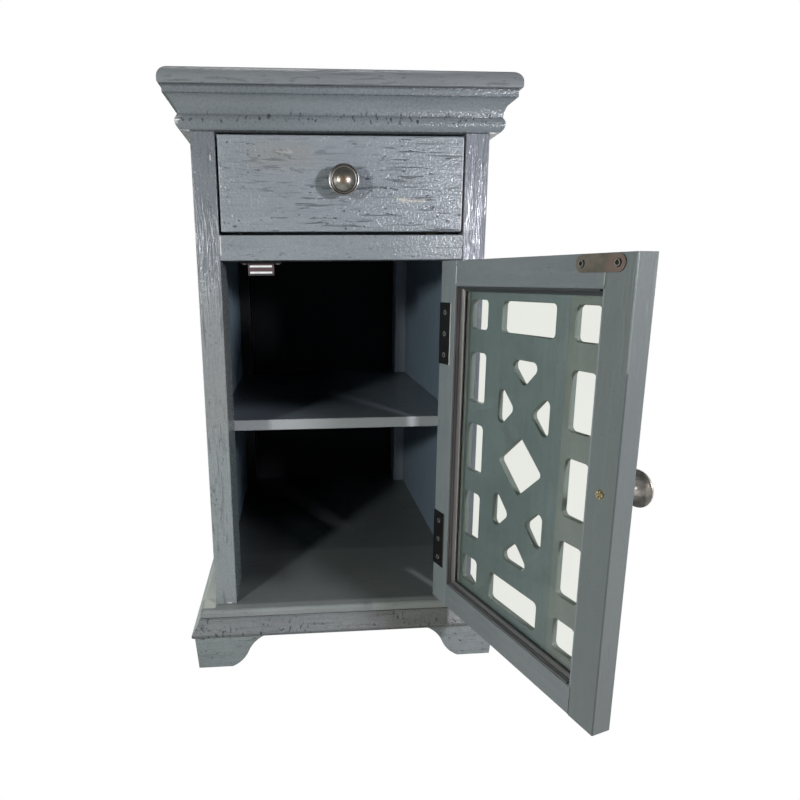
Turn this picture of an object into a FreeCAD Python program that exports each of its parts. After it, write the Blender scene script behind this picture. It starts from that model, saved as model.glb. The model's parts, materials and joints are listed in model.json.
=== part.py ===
import FreeCAD, Part
import math
import os
from FreeCAD import Vector

# A chairside storage table: crowned top, one drawer, a glazed fret door over a shelf, bracket feet.
# Millimetres. The origin is on the floor under the middle of the carcass, +Z is up, the front faces -Y.

# Carcass
carcass_width = 300.0
carcass_depth = 470.0
post_width = 24.0
front_post_depth = 65.0
rear_post_depth = 46.0
edge_radius = 1.2

# Heights, stacked from the floor up
foot_height = 39.5
base_mould_height = 20.5
base_board_thickness = 8.6
door_opening_height = 386.2
front_rail_height = 25.1
drawer_opening_height = 97.5
crown_bead_height = 13.0
crown_cove_height = 16.6
crown_fillet_height = 7.0
top_thickness = 17.0

# Crown and top board, as steps outwards from the posts
crown_foot_overhang = 8.0
crown_neck_step = 1.5
crown_cove_reach = 9.5
crown_fillet_step = 1.5
top_lip = 3.5
crown_bead_bulge = 3.0
crown_cove_hollow = 2.6
top_edge_radius = 12.0
top_lower_radius = 2.0

# Base board, base moulding and bracket feet, as steps outwards from the posts
base_board_overhang = 16.0
base_board_radius = 3.6
base_board_lower_radius = 1.0
base_mould_top_step = 1.0
base_mould_flare = 7.6
base_mould_undercut = 1.2
base_mould_shoulder_drop = 14.0
base_mould_hollow = 1.0
base_mould_bulge = 1.6
base_rail_width = 26.0
foot_setback = 0.9
foot_taper = 2.5
foot_thickness = 17.0
foot_toe = 41.0
foot_wing = 79.0
foot_curve = 2.6

# Rails and panels
front_rail_depth = 45.0
top_rail_depth = 20.0
upper_rail_height = 50.0
side_panel_thickness = 4.0
side_panel_recess = 2.0
back_panel_thickness = 4.0
back_panel_recess = 9.0
panel_groove = 6.0

# Shelf
shelf_rise = 189.8
shelf_thickness = 12.9
shelf_clearance = 1.0
cleat_width = 10.0
cleat_height = 10.0

# Drawer
drawer_gap_side = 2.0
drawer_gap_top = 2.1
drawer_gap_bottom = 3.2
drawer_front_thickness = 18.0
drawer_front_radius = 1.6
drawer_rear_clearance = 77.0
drawer_side_thickness = 12.0
drawer_side_drop = 29.1
drawer_side_clearance = 3.0
drawer_lift = 0.4
drawer_bottom_thickness = 5.0
drawer_bottom_rise = 8.0
drawer_bottom_groove = 5.0
runner_width = 18.0
runner_height = 14.0

# Door
door_open_angle = 108.0
door_gap_side = 1.5
door_gap_top = 1.7
door_gap_bottom = 6.7
door_thickness = 19.0
door_stile_width = 27.5
door_top_rail_height = 25.3
door_bottom_rail_height = 26.0
door_edge_radius = 1.0
glass_thickness = 3.0
glass_clearance = 0.5
bead_width = 5.0
bead_recess = 1.0
bead_lip = 1.8
bead_step = 2.6
bead_foot = 1.5
bead_round = 0.9

# Fret panel: rows of windows in two columns, a wide window at each end, crosses and a diamond between
fret_thickness = 6.0
fret_recess = 0.5
fret_groove = 6.0
fret_side_margin = 12.5
fret_end_margin = 12.75
fret_wide_columns = 2.73
fret_end_height = 29.0
fret_bar = 22.8
fret_upright = 23.0
fret_diamond_inset = 4.5
fret_diamond_rise = 3.2
fret_window_radius = 4.5
fret_triangle_radius = 5.5
fret_triangle_round = 0.3
fret_diamond_radius = 4.0
fret_edge_radius = 0.8

# Hinges
hinge_height = 64.0
hinge_inset = 42.0
hinge_leaf_thickness = 1.2
hinge_leaf_proud = 0.6
hinge_door_leaf_width = 20.5
hinge_frame_leaf_depth = 28.0
hinge_knuckle_radius = 3.4
hinge_knuckle_clearance = 0.4
hinge_knuckle_gap = 0.3
hinge_pin_radius = 2.05
hinge_pin_clearance = 0.05
hinge_pin_head = 1.6
hinge_middle_knuckle = 24.0
hinge_screw_spacing = 22.0
hinge_door_screw_inset = 11.0
hinge_frame_screw_inset = 23.5

# Knobs, as radii and distances out from the wood
knob_foot_radius = 8.0
knob_foot_height = 2.0
knob_neck_radius = 5.0
knob_neck_height = 11.0
knob_rim_radius = 15.0
knob_rim_height = 17.0
knob_rim_edge = 1.8
knob_groove_radius = 12.1
knob_groove_depth = 1.4
knob_dome_radius = 10.9
knob_height = 22.0
knob_screw_depth = 12.0
drawer_knob_rise = 1.9
door_knob_inset = 13.8
door_knob_rise = 12.1

# Magnetic catch and its strike plate
catch_inset = 40.0
catch_width = 27.5
catch_depth = 18.0
catch_height = 12.5
catch_flange_width = 44.0
catch_flange_thickness = 2.5
catch_stand_off = 0.5
catch_pole_thickness = 2.0
catch_pole_spread = 6.4
catch_pole_length = 12.0
catch_pole_margin = 2.0
catch_pole_proud = 0.3
catch_screw_spacing = 35.0
strike_length = 47.0
strike_height = 13.2
strike_thickness = 1.2
strike_shift = 5.5
strike_screw_spacing = 34.5

# Screws: small ones for the hinges, strike and catch, a stouter one behind each knob
small_head_radius = 3.1
small_head_height = 1.1
small_shank_radius = 1.5
small_screw_length = 11.0
knob_head_radius = 3.8
knob_head_height = 1.8
knob_shank_radius = 2.0
screw_head_taper = 0.7
screw_rim = 0.6
screw_recess_width = 0.9
screw_recess_depth = 0.8
screw_fit = 0.05
screw_passage = 0.25

# Planes and levels that the sizes above give
quarter_bulge = 1.0 - math.cos(math.radians(45.0))
half_width = carcass_width / 2
half_opening = half_width - post_width
front = -carcass_depth / 2
back = carcass_depth / 2
front_post_back = front + front_post_depth
rear_post_front = back - rear_post_depth
base_mould_bottom = foot_height
base_board_bottom = base_mould_bottom + base_mould_height
floor = base_board_bottom + base_board_thickness
rail_bottom = floor + door_opening_height
rail_top = rail_bottom + front_rail_height
crown_bottom = rail_top + drawer_opening_height
post_top = crown_bottom + crown_bead_height + crown_cove_height + crown_fillet_height
upper_rail_bottom = post_top - upper_rail_height
side_panel_outer = half_width - side_panel_recess
side_panel_inner = side_panel_outer - side_panel_thickness
back_panel_back = back - back_panel_recess
back_panel_front = back_panel_back - back_panel_thickness
crown_neck_overhang = crown_foot_overhang + crown_neck_step
crown_cove_overhang = crown_neck_overhang + crown_cove_reach
crown_fillet_overhang = crown_cove_overhang + crown_fillet_step
top_overhang = crown_fillet_overhang + top_lip
base_mould_top_overhang = base_board_overhang + base_mould_top_step
base_mould_shoulder_overhang = base_mould_top_overhang + base_mould_flare
base_mould_bottom_overhang = base_mould_shoulder_overhang - base_mould_undercut
foot_overhang = base_mould_bottom_overhang - foot_setback


def box(x0, x1, y0, y1, z0, z1):
    """A board between two values on each axis."""
    return Part.makeBox(x1 - x0, y1 - y0, z1 - z0, Vector(x0, y0, z0))


def outline_face(points, place):
    """A flat face with straight and arched sides.

    Each point is (a, b, bulge): the bulge belongs to the side that leaves the point and swells to the
    right of the way it runs, so that it swells outwards on an outline drawn anticlockwise."""
    edges = []
    for (a, b, bulge), (c, d, _) in zip(points, points[1:] + points[:1]):
        start = place(a, b)
        end = place(c, d)
        if bulge:
            swell = bulge / math.hypot(c - a, d - b)
            middle = place((a + c) / 2 + swell * (d - b), (b + d) / 2 - swell * (c - a))
            edges.append(Part.Arc(start, middle, end).toShape())
        else:
            edges.append(Part.makeLine(start, end))
    return Part.Face(Part.Wire(edges))


def eased(shape, radius, chosen):
    """The shape with the chosen edges rounded."""
    return shape.makeFillet(radius, [edge for edge in shape.Edges if chosen(edge.BoundBox)])


def runs_along(axis):
    """Chooses the edges that run along one axis of a plain board."""
    return lambda bounds: getattr(bounds, axis + "Length") > edge_radius


def level_at_the_front(y):
    """Chooses the level edges of a board's front face, which lies at y."""
    return lambda bounds: bounds.YMax < y + edge_radius and bounds.XLength > edge_radius


def mirrored(shape):
    """The same piece on the other side of the table."""
    return shape.mirror(Vector(0, 0, 0), Vector(1, 0, 0))


def plan_prism(points, z0, z1):
    """An upright prism over a polygon in plan."""
    corners = [Vector(x, y, z0) for x, y in points]
    return Part.Face(Part.makePolygon(corners + corners[:1])).extrude(Vector(0, 0, z1 - z0))


def edged_board(overhang, z0, z1, top_radius, lower_radius):
    """A board over the whole plan, with rounded edges at the front and both sides and a square back."""
    half = half_width + overhang
    nose = front - overhang
    across = [
        (-half + lower_radius, z0, 0), (half - lower_radius, z0, quarter_bulge * lower_radius),
        (half, z0 + lower_radius, 0), (half, z1 - top_radius, quarter_bulge * top_radius),
        (half - top_radius, z1, 0), (-half + top_radius, z1, quarter_bulge * top_radius),
        (-half, z1 - top_radius, 0), (-half, z0 + lower_radius, quarter_bulge * lower_radius),
    ]
    along = [
        (nose + lower_radius, z0, 0), (back, z0, 0), (back, z1, 0),
        (nose + top_radius, z1, quarter_bulge * top_radius),
        (nose, z1 - top_radius, 0), (nose, z0 + lower_radius, quarter_bulge * lower_radius),
    ]
    wide = outline_face(across, lambda x, z: Vector(x, nose, z)).extrude(Vector(0, back - nose, 0))
    deep = outline_face(along, lambda y, z: Vector(-half, y, z)).extrude(Vector(2 * half, 0, 0))
    return wide.common(deep)


def mitred_mouldings(profile, reach, z0, z1):
    """Front and left lengths of a moulding planted on the carcass, mitred at the corner."""
    length = half_width + reach
    front_end = outline_face(profile, lambda out, z: Vector(-length, front - out, z))
    front_bar = front_end.extrude(Vector(2 * length, 0, 0))
    left_end = outline_face(profile, lambda out, z: Vector(-half_width - out, front - reach, z))
    left_bar = left_end.extrude(Vector(0, back - front + reach, 0))
    corner_in = (-half_width, front)
    corner_out = (-half_width - reach, front - reach)
    front_plan = [corner_in, corner_out, (-corner_out[0], corner_out[1]), (-corner_in[0], corner_in[1])]
    left_plan = [corner_in, corner_out, (corner_out[0], back), (corner_in[0], back)]
    return front_bar.common(plan_prism(front_plan, z0, z1)), left_bar.common(plan_prism(left_plan, z0, z1))


def screw(position, direction, head_radius, head_height, shank_radius, length):
    """A cross-recessed screw whose head stands on a surface, and the hole that its shank needs."""
    top_radius = head_radius - screw_head_taper
    head = Part.makeCone(head_radius, top_radius, head_height)
    reach = top_radius - screw_rim
    half_slot = screw_recess_width / 2
    recess_low = head_height - screw_recess_depth
    recess = [
        box(-reach, reach, -half_slot, half_slot, recess_low, head_height),
        box(-half_slot, half_slot, -reach, reach, recess_low, head_height),
    ]
    shank = Part.makeCylinder(shank_radius, length, Vector(0, 0, -length))
    hole = Part.makeCylinder(shank_radius + screw_fit, length, Vector(0, 0, -length))
    body = all_cut(head.fuse(shank).removeSplitter(), recess)
    for shape in (body, hole):
        shape.Placement = FreeCAD.Placement(position, FreeCAD.Rotation(Vector(0, 0, 1), direction))
    return body, hole


def small_screw(position, direction):
    """A small screw and its hole."""
    return screw(
        position, direction, small_head_radius, small_head_height, small_shank_radius, small_screw_length)


def all_cut(shape, tools):
    """The shape with every tool's space taken out."""
    for tool in tools:
        shape = shape.cut(tool)
    return shape


nodes = {}

# Top board and crown

nodes["top_board"] = edged_board(
    top_overhang, post_top, post_top + top_thickness, top_edge_radius, top_lower_radius)

crown_neck = crown_bottom + crown_bead_height
crown_shoulder = crown_neck + crown_cove_height
crown_profile = [
    (0, crown_bottom, 0), (crown_foot_overhang, crown_bottom, crown_bead_bulge),
    (crown_neck_overhang, crown_neck, -crown_cove_hollow), (crown_cove_overhang, crown_shoulder, 0),
    (crown_fillet_overhang, crown_shoulder, 0), (crown_fillet_overhang, post_top, 0), (0, post_top, 0),
]
crown_front, crown_left = mitred_mouldings(crown_profile, crown_fillet_overhang, crown_bottom, post_top)
nodes["crown_front"] = crown_front
nodes["crown_left"] = crown_left
nodes["crown_right"] = mirrored(crown_left)

# Base board, base moulding and feet

nodes["base_board"] = edged_board(
    base_board_overhang, base_board_bottom, floor, base_board_radius, base_board_lower_radius)

base_shoulder = base_board_bottom - base_mould_shoulder_drop
base_profile = [
    (0, base_mould_bottom, 0), (base_mould_bottom_overhang, base_mould_bottom, base_mould_bulge),
    (base_mould_shoulder_overhang, base_shoulder, -base_mould_hollow),
    (base_mould_top_overhang, base_board_bottom, 0), (0, base_board_bottom, 0),
]
base_reach = base_mould_shoulder_overhang + base_mould_bulge
base_front, base_left = mitred_mouldings(base_profile, base_reach, base_mould_bottom, base_board_bottom)
nodes["base_moulding_front"] = base_front
nodes["base_moulding_left"] = base_left
nodes["base_moulding_right"] = mirrored(base_left)
nodes["base_rail_rear"] = box(
    -half_width, half_width, back - base_rail_width, back, base_mould_bottom, base_board_bottom)


def bracket_board():
    """A bracket foot's board along +X from its corner, with its leaning outer face towards -Y."""
    bend = ((foot_toe + foot_wing) / 2, foot_height / 2)
    shape_in_front = [
        (0, 0, 0), (foot_toe, 0, foot_curve), (bend[0], bend[1], -foot_curve),
        (foot_wing, foot_height, 0), (0, foot_height, 0),
    ]
    lean = [(foot_taper, 0, 0), (foot_thickness, 0, 0), (foot_thickness, foot_height, 0), (0, foot_height, 0)]
    board = outline_face(shape_in_front, lambda x, z: Vector(x, 0, z)).extrude(Vector(0, foot_thickness, 0))
    wedge = outline_face(lean, lambda y, z: Vector(0, y, z)).extrude(Vector(foot_wing, 0, 0))
    return board.common(wedge)


foot_front = bracket_board()
foot_front.translate(Vector(-half_width - foot_overhang, front - foot_overhang, 0))
mitre_plan = [
    (-half_width - foot_overhang, front - foot_overhang), (foot_wing - half_width, front - foot_overhang),
    (foot_wing - half_width, front), (-half_width, front),
]
foot_front = foot_front.common(plan_prism(mitre_plan, 0, foot_height))
foot_side = foot_front.mirror(Vector(-half_width, front, 0), Vector(1, -1, 0))
foot_rear = bracket_board()
foot_rear.rotate(Vector(0, 0, 0), Vector(0, 0, 1), -90)
foot_rear.translate(Vector(-half_width - foot_overhang, back, 0))
feet = {"foot_front": foot_front, "foot_front_side": foot_side, "foot_rear_side": foot_rear}
for name, board in feet.items():
    nodes[name + "_left"] = board
    nodes[name + "_right"] = mirrored(board)

# Panels, rails and posts

side_panel_left = box(
    -side_panel_outer, -side_panel_inner, front_post_back - panel_groove, rear_post_front + panel_groove,
    floor, upper_rail_bottom + panel_groove)
nodes["side_panel_left"] = side_panel_left
nodes["side_panel_right"] = mirrored(side_panel_left)

back_panel_half = half_opening + panel_groove
back_panel = box(-back_panel_half, back_panel_half, back_panel_front, back_panel_back, floor, post_top)
nodes["back_panel"] = back_panel

side_rail_left = box(
    -half_width, -half_opening, front_post_back, rear_post_front, upper_rail_bottom, post_top)
side_rail_left = side_rail_left.cut(side_panel_left)
nodes["side_rail_left"] = side_rail_left
nodes["side_rail_right"] = mirrored(side_rail_left)
nodes["rear_rail"] = box(
    -half_opening, half_opening, rear_post_front, back_panel_front, upper_rail_bottom, post_top)
nodes["top_rail"] = box(-half_opening, half_opening, front, front + top_rail_depth, crown_bottom, post_top)

front_post_left = box(-half_width, -half_opening, front, front_post_back, floor, post_top)
front_post_left = eased(front_post_left, edge_radius, runs_along("Z")).cut(side_panel_left)
rear_post_left = box(-half_width, -half_opening, rear_post_front, back, floor, post_top)
rear_post_left = all_cut(eased(rear_post_left, edge_radius, runs_along("Z")), [side_panel_left, back_panel])
nodes["post_front_left"] = front_post_left
nodes["post_rear_left"] = rear_post_left
nodes["post_rear_right"] = mirrored(rear_post_left)

# Shelf on two cleats, notched round the rear posts

shelf_bottom = floor + shelf_rise
shelf_top = shelf_bottom + shelf_thickness
shelf_half = side_panel_inner - shelf_clearance
shelf_front = front_post_back + shelf_clearance
shelf_back = back_panel_front - shelf_clearance
shelf = box(-shelf_half, shelf_half, shelf_front, shelf_back, shelf_bottom, shelf_top)
shelf = eased(shelf, edge_radius, level_at_the_front(shelf_front))
notch = box(
    half_opening - shelf_clearance, half_width, rear_post_front - shelf_clearance, back,
    shelf_bottom, shelf_top)
nodes["shelf"] = all_cut(shelf, [notch, mirrored(notch)])
cleat_left = box(
    -side_panel_inner, -side_panel_inner + cleat_width, front_post_back, rear_post_front,
    shelf_bottom - cleat_height, shelf_bottom)
nodes["shelf_cleat_left"] = cleat_left
nodes["shelf_cleat_right"] = mirrored(cleat_left)

# Drawer runners and drawer

runner_left = box(
    -half_opening, -half_opening + runner_width, front + front_rail_depth, back_panel_front,
    rail_top - runner_height, rail_top)
nodes["drawer_runner_left"] = runner_left
nodes["drawer_runner_right"] = mirrored(runner_left)

drawer_front_half = half_opening - drawer_gap_side
drawer_front_bottom = rail_top + drawer_gap_bottom
drawer_front_top = crown_bottom - drawer_gap_top
drawer_box_half = half_opening - drawer_side_clearance
drawer_inner_half = drawer_box_half - drawer_side_thickness
drawer_low = rail_top + drawer_lift
drawer_high = crown_bottom - drawer_side_drop
drawer_face_back = front + drawer_front_thickness
drawer_end = back_panel_front - drawer_rear_clearance
drawer_bottom_low = drawer_low + drawer_bottom_rise

drawer_bottom = box(
    -drawer_inner_half - drawer_bottom_groove, drawer_inner_half + drawer_bottom_groove,
    drawer_face_back - drawer_bottom_groove, drawer_end - drawer_side_thickness + drawer_bottom_groove,
    drawer_bottom_low, drawer_bottom_low + drawer_bottom_thickness)
nodes["drawer_bottom"] = drawer_bottom
drawer_side_left = box(
    -drawer_box_half, -drawer_inner_half, drawer_face_back, drawer_end, drawer_low, drawer_high)
drawer_side_left = drawer_side_left.cut(drawer_bottom)
nodes["drawer_side_left"] = drawer_side_left
nodes["drawer_side_right"] = mirrored(drawer_side_left)
drawer_back = box(
    -drawer_inner_half, drawer_inner_half, drawer_end - drawer_side_thickness, drawer_end,
    drawer_low, drawer_high)
nodes["drawer_back"] = drawer_back.cut(drawer_bottom)


def knob_and_screw(wood_thickness, position, outwards):
    """A turned knob standing on the wood, its screw from the other side, and the screw's passage."""
    rim_top = knob_rim_height + knob_rim_edge
    dome_foot = rim_top - knob_groove_depth
    dome_rise = knob_height - dome_foot
    dome_chord = math.hypot(knob_dome_radius, dome_rise)
    dome_bulge = dome_chord * math.tan(math.atan2(dome_rise, knob_dome_radius) / 2) / 2
    profile = [
        (0, 0, 0), (knob_foot_radius, 0, 0), (knob_foot_radius, knob_foot_height, 0),
        (knob_neck_radius, knob_foot_height + knob_foot_radius - knob_neck_radius, 0),
        (knob_neck_radius, knob_neck_height, -knob_rim_edge),
        (knob_rim_radius, knob_rim_height, knob_rim_edge / 2),
        (knob_rim_radius - knob_rim_edge, rim_top, 0), (knob_groove_radius, dome_foot, 0),
        (knob_dome_radius, dome_foot, dome_bulge), (0, knob_height, 0),
    ]
    half_section = outline_face(profile, lambda r, z: Vector(r, 0, z))
    turned = half_section.revolve(Vector(0, 0, 0), Vector(0, 0, 1), 360)
    turned = turned.cut(Part.makeCylinder(knob_shank_radius + screw_fit, knob_screw_depth))
    turned.Placement = FreeCAD.Placement(position, FreeCAD.Rotation(Vector(0, 0, 1), outwards))
    inside = position - outwards * wood_thickness
    screw_length = wood_thickness + knob_screw_depth
    fastener, _ = screw(
        inside, outwards * -1, knob_head_radius, knob_head_height, knob_shank_radius, screw_length)
    passage = Part.makeCylinder(knob_shank_radius + screw_passage, wood_thickness, inside, outwards)
    return turned, fastener, passage


drawer_front = box(
    -drawer_front_half, drawer_front_half, front, drawer_face_back, drawer_front_bottom, drawer_front_top)
drawer_front = eased(
    drawer_front, drawer_front_radius, lambda bounds: bounds.YMax < front + drawer_front_radius)
drawer_knob_level = (drawer_front_bottom + drawer_front_top) / 2 + drawer_knob_rise
drawer_knob_place = Vector(0, front, drawer_knob_level)
knob, fastener, passage = knob_and_screw(drawer_front_thickness, drawer_knob_place, Vector(0, -1, 0))
nodes["drawer_front"] = all_cut(drawer_front, [drawer_bottom, passage])
nodes["drawer_knob"] = knob
nodes["drawer_knob_screw"] = fastener

# Door, drawn closed: distances run from the hinge edge, from the bottom edge and from the inner face

door_edge = half_opening - door_gap_side
door_width = 2 * door_edge
door_low = floor + door_gap_bottom
door_height = door_opening_height - door_gap_bottom - door_gap_top
door_inner = front + door_thickness
frame_near = door_stile_width
frame_far = door_width - door_stile_width
frame_low = door_bottom_rail_height
frame_high = door_height - door_top_rail_height
fret_inner = door_thickness - fret_recess - fret_thickness
glass_inner = fret_inner - glass_thickness


def door_box(s0, s1, h0, h1, d0, d1):
    """A board of the closed door."""
    return box(door_edge - s1, door_edge - s0, door_inner - d1, door_inner - d0, door_low + h0, door_low + h1)


def door_point(s, h, d):
    """A point of the closed door."""
    return Vector(door_edge - s, door_inner - d, door_low + h)


door_parts = {}

fret_blank = door_box(
    frame_near - fret_groove, frame_far + fret_groove, frame_low - fret_groove, frame_high + fret_groove,
    fret_inner, fret_inner + fret_thickness)


fret_middle_s = (frame_near + frame_far) / 2
fret_middle_h = (frame_low + frame_high) / 2
fret_half_width = (frame_far - frame_near) / 2
fret_half_height = (frame_high - frame_low) / 2


def rounded_hole(corners, radius):
    """A hole right through the fret panel, with the corners of its outline rounded."""
    points = [door_point(fret_middle_s + s, fret_middle_h + h, fret_inner) for s, h in corners]
    arcs = []
    for before, corner, after in zip(points[-1:] + points[:-1], points, points[1:] + points[:1]):
        one = (before - corner).normalize()
        other = (after - corner).normalize()
        half_angle = one.getAngle(other) / 2
        reach = radius / math.tan(half_angle)
        inwards = (one + other).normalize()
        middle = corner + inwards * (radius / math.sin(half_angle) - radius)
        arcs.append((corner + one * reach, middle, corner + other * reach))
    edges = []
    for (start, middle, end), (following, _, _) in zip(arcs, arcs[1:] + arcs[:1]):
        edges.append(Part.Arc(start, middle, end).toShape())
        edges.append(Part.makeLine(end, following))
    return Part.Face(Part.Wire(edges)).extrude(Vector(0, -fret_thickness, 0))


def window(s0, s1, h0, h1):
    """A rectangular window of the fret, measured from the panel's middle."""
    return rounded_hole([(s0, h0), (s1, h0), (s1, h1), (s0, h1)], fret_window_radius)


def triangle(s, h, away_s, away_h):
    """A right-angled triangle with its long side at (s, h), pointing the given way."""
    deep = fret_triangle_depth
    tip = (s + away_s * deep, h + away_h * deep)
    one_end = (s + away_h * deep, h + away_s * deep)
    other_end = (s - away_h * deep, h - away_s * deep)
    return rounded_hole([one_end, tip, other_end], min(fret_triangle_radius, deep * fret_triangle_round))


fret_column_outer = fret_half_width - fret_side_margin
fret_glazed_width = 2 * (fret_column_outer - fret_upright)
fret_column_width = fret_glazed_width / (2 + fret_wide_columns)
fret_column_inner = fret_column_outer - fret_column_width
fret_wide_half = fret_column_inner - fret_upright
row_end_high = fret_half_height - fret_end_margin
row_end_low = row_end_high - fret_end_height
row_two_high = row_end_low - fret_bar
fret_window_height = (row_two_high - fret_bar) * 2 / 3
row_two_low = row_two_high - fret_window_height
row_middle = fret_window_height / 2
fret_rows = [
    (-row_middle, row_middle), (row_two_low, row_two_high), (-row_two_high, -row_two_low),
    (row_end_low, row_end_high), (-row_end_high, -row_end_low),
]
fret_diamond_half_width = fret_wide_half - fret_diamond_inset
fret_diamond_half_height = row_middle + fret_diamond_rise
fret_triangle_depth = fret_wide_half - fret_upright / 2
fret_cross_rise = (row_two_high - fret_bar + fret_diamond_half_height) / 2
fret_holes = []
for low, high in fret_rows:
    fret_holes.append(window(fret_column_inner, fret_column_outer, low, high))
    fret_holes.append(window(-fret_column_outer, -fret_column_inner, low, high))
for side in (-1, 1):
    ends = sorted((side * row_end_low, side * row_end_high))
    fret_holes.append(window(-fret_wide_half, fret_wide_half, ends[0], ends[1]))
    fret_holes.append(triangle(0, side * row_two_high, 0, -side))
    fret_holes.append(triangle(-fret_wide_half, side * fret_cross_rise, 1, 0))
    fret_holes.append(triangle(fret_wide_half, side * fret_cross_rise, -1, 0))
fret_holes.append(rounded_hole(
    [(fret_diamond_half_width, 0), (0, fret_diamond_half_height), (-fret_diamond_half_width, 0),
     (0, -fret_diamond_half_height)], fret_diamond_radius))
fret_panel = all_cut(fret_blank, fret_holes)
fret_bounds = fret_panel.BoundBox


def on_a_fret_face(bounds):
    """Chooses the rims of the holes on the two faces of the fret panel."""
    flat = bounds.YLength < fret_edge_radius
    off_the_sides = bounds.XMin > fret_bounds.XMin and bounds.XMax < fret_bounds.XMax
    off_the_ends = bounds.ZMin > fret_bounds.ZMin and bounds.ZMax < fret_bounds.ZMax
    return flat and off_the_sides and off_the_ends


door_parts["fret_panel"] = eased(fret_panel, fret_edge_radius, on_a_fret_face)

door_parts["glass_pane"] = door_box(
    frame_near + glass_clearance, frame_far - glass_clearance, frame_low + glass_clearance,
    frame_high - glass_clearance, glass_inner, fret_inner)

bead_profile = [
    (0, glass_inner, 0), (0, bead_recess, 0), (bead_lip, bead_recess, 0),
    (bead_lip, bead_recess + bead_step, -bead_round),
    (bead_width, glass_inner - bead_foot, 0), (bead_width, glass_inner, 0),
]


def bead(place, run):
    """A glazing bead: its profile is set at one end and runs along the given vector."""
    return outline_face(bead_profile, place).extrude(run)


upright_run = Vector(0, 0, frame_high - frame_low)
level_run = Vector(-(frame_far - frame_near - 2 * bead_width), 0, 0)
door_parts["glazing_beads_upright"] = Part.makeCompound([
    bead(lambda w, d: door_point(frame_near + w, frame_low, d), upright_run),
    bead(lambda w, d: door_point(frame_far - w, frame_low, d), upright_run),
])
door_parts["glazing_beads_level"] = Part.makeCompound([
    bead(lambda w, d: door_point(frame_near + bead_width, frame_low + w, d), level_run),
    bead(lambda w, d: door_point(frame_near + bead_width, frame_high - w, d), level_run),
])

# Hinges: the frame leaf lies in the post, the door leaf wraps the door's edge and inner face

pin_x = half_opening + hinge_leaf_thickness - hinge_knuckle_radius
pin_y = front - hinge_knuckle_radius - hinge_knuckle_clearance
leaf_face = door_inner + hinge_leaf_proud
hinge_levels = [
    door_low + hinge_inset + hinge_height / 2,
    door_low + door_height - hinge_inset - hinge_height / 2,
]


def knuckle(z0, z1):
    """The solid barrel of one knuckle, before its bore."""
    return Part.makeCylinder(hinge_knuckle_radius, z1 - z0, Vector(pin_x, pin_y, z0))


frame_leaves = []
frame_pockets = []
frame_screws = []
frame_screw_holes = []
door_leaves = []
door_pockets = []
door_screws = []
door_screw_holes = []
pins = []
for level in hinge_levels:
    low = level - hinge_height / 2
    high = level + hinge_height / 2
    middle_low = level - hinge_middle_knuckle / 2
    middle_high = level + hinge_middle_knuckle / 2
    bore = Part.makeCylinder(hinge_pin_radius + hinge_pin_clearance, hinge_height, Vector(pin_x, pin_y, low))

    frame_plate = box(
        half_opening, half_opening + hinge_leaf_thickness, front, front + hinge_frame_leaf_depth, low, high)
    frame_leaf = frame_plate
    for z0, z1 in ((low, middle_low - hinge_knuckle_gap), (middle_high + hinge_knuckle_gap, high)):
        strap = box(half_opening, half_opening + hinge_leaf_thickness, pin_y, front, z0, z1)
        frame_leaf = frame_leaf.fuse([strap, knuckle(z0, z1)])
    frame_leaf = frame_leaf.cut(bore).removeSplitter()

    edge_plate = box(door_edge - hinge_leaf_thickness, door_edge, front, leaf_face, low, high)
    face_plate = box(
        door_edge - hinge_door_leaf_width, door_edge, leaf_face - hinge_leaf_thickness, leaf_face, low, high)
    web = box(door_edge - hinge_leaf_thickness, door_edge, pin_y, front, middle_low, middle_high)
    door_leaf = edge_plate.fuse([face_plate, web, knuckle(middle_low, middle_high)])
    door_leaf = door_leaf.cut(bore).removeSplitter()

    for z in (level - hinge_screw_spacing, level, level + hinge_screw_spacing):
        body, hole = small_screw(Vector(half_opening, front + hinge_frame_screw_inset, z), Vector(-1, 0, 0))
        frame_screws.append(body)
        frame_screw_holes.append(hole)
        frame_leaf = frame_leaf.cut(hole)
        body, hole = small_screw(Vector(door_edge - hinge_door_screw_inset, leaf_face, z), Vector(0, 1, 0))
        door_screws.append(body)
        door_screw_holes.append(hole)
        door_leaf = door_leaf.cut(hole)

    pin = Part.makeCylinder(hinge_pin_radius, hinge_height, Vector(pin_x, pin_y, low))
    for z0 in (low - hinge_pin_head, high):
        pin = pin.fuse(Part.makeCylinder(hinge_knuckle_radius, hinge_pin_head, Vector(pin_x, pin_y, z0)))
    pins.append(pin.removeSplitter())
    frame_leaves.append(frame_leaf)
    frame_pockets.append(frame_plate)
    door_leaves.append(door_leaf)
    door_pockets.extend([edge_plate, face_plate])

nodes["hinge_frame_leaves"] = Part.makeCompound(frame_leaves)
nodes["hinge_frame_screws"] = Part.makeCompound(frame_screws)
nodes["hinge_pins"] = Part.makeCompound(pins)
door_parts["hinge_door_leaves"] = Part.makeCompound(door_leaves)
door_parts["hinge_door_screws"] = Part.makeCompound(door_screws)
nodes["post_front_right"] = all_cut(mirrored(front_post_left), frame_pockets + frame_screw_holes)

# Strike plate on the door, magnetic catch under the front rail

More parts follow.
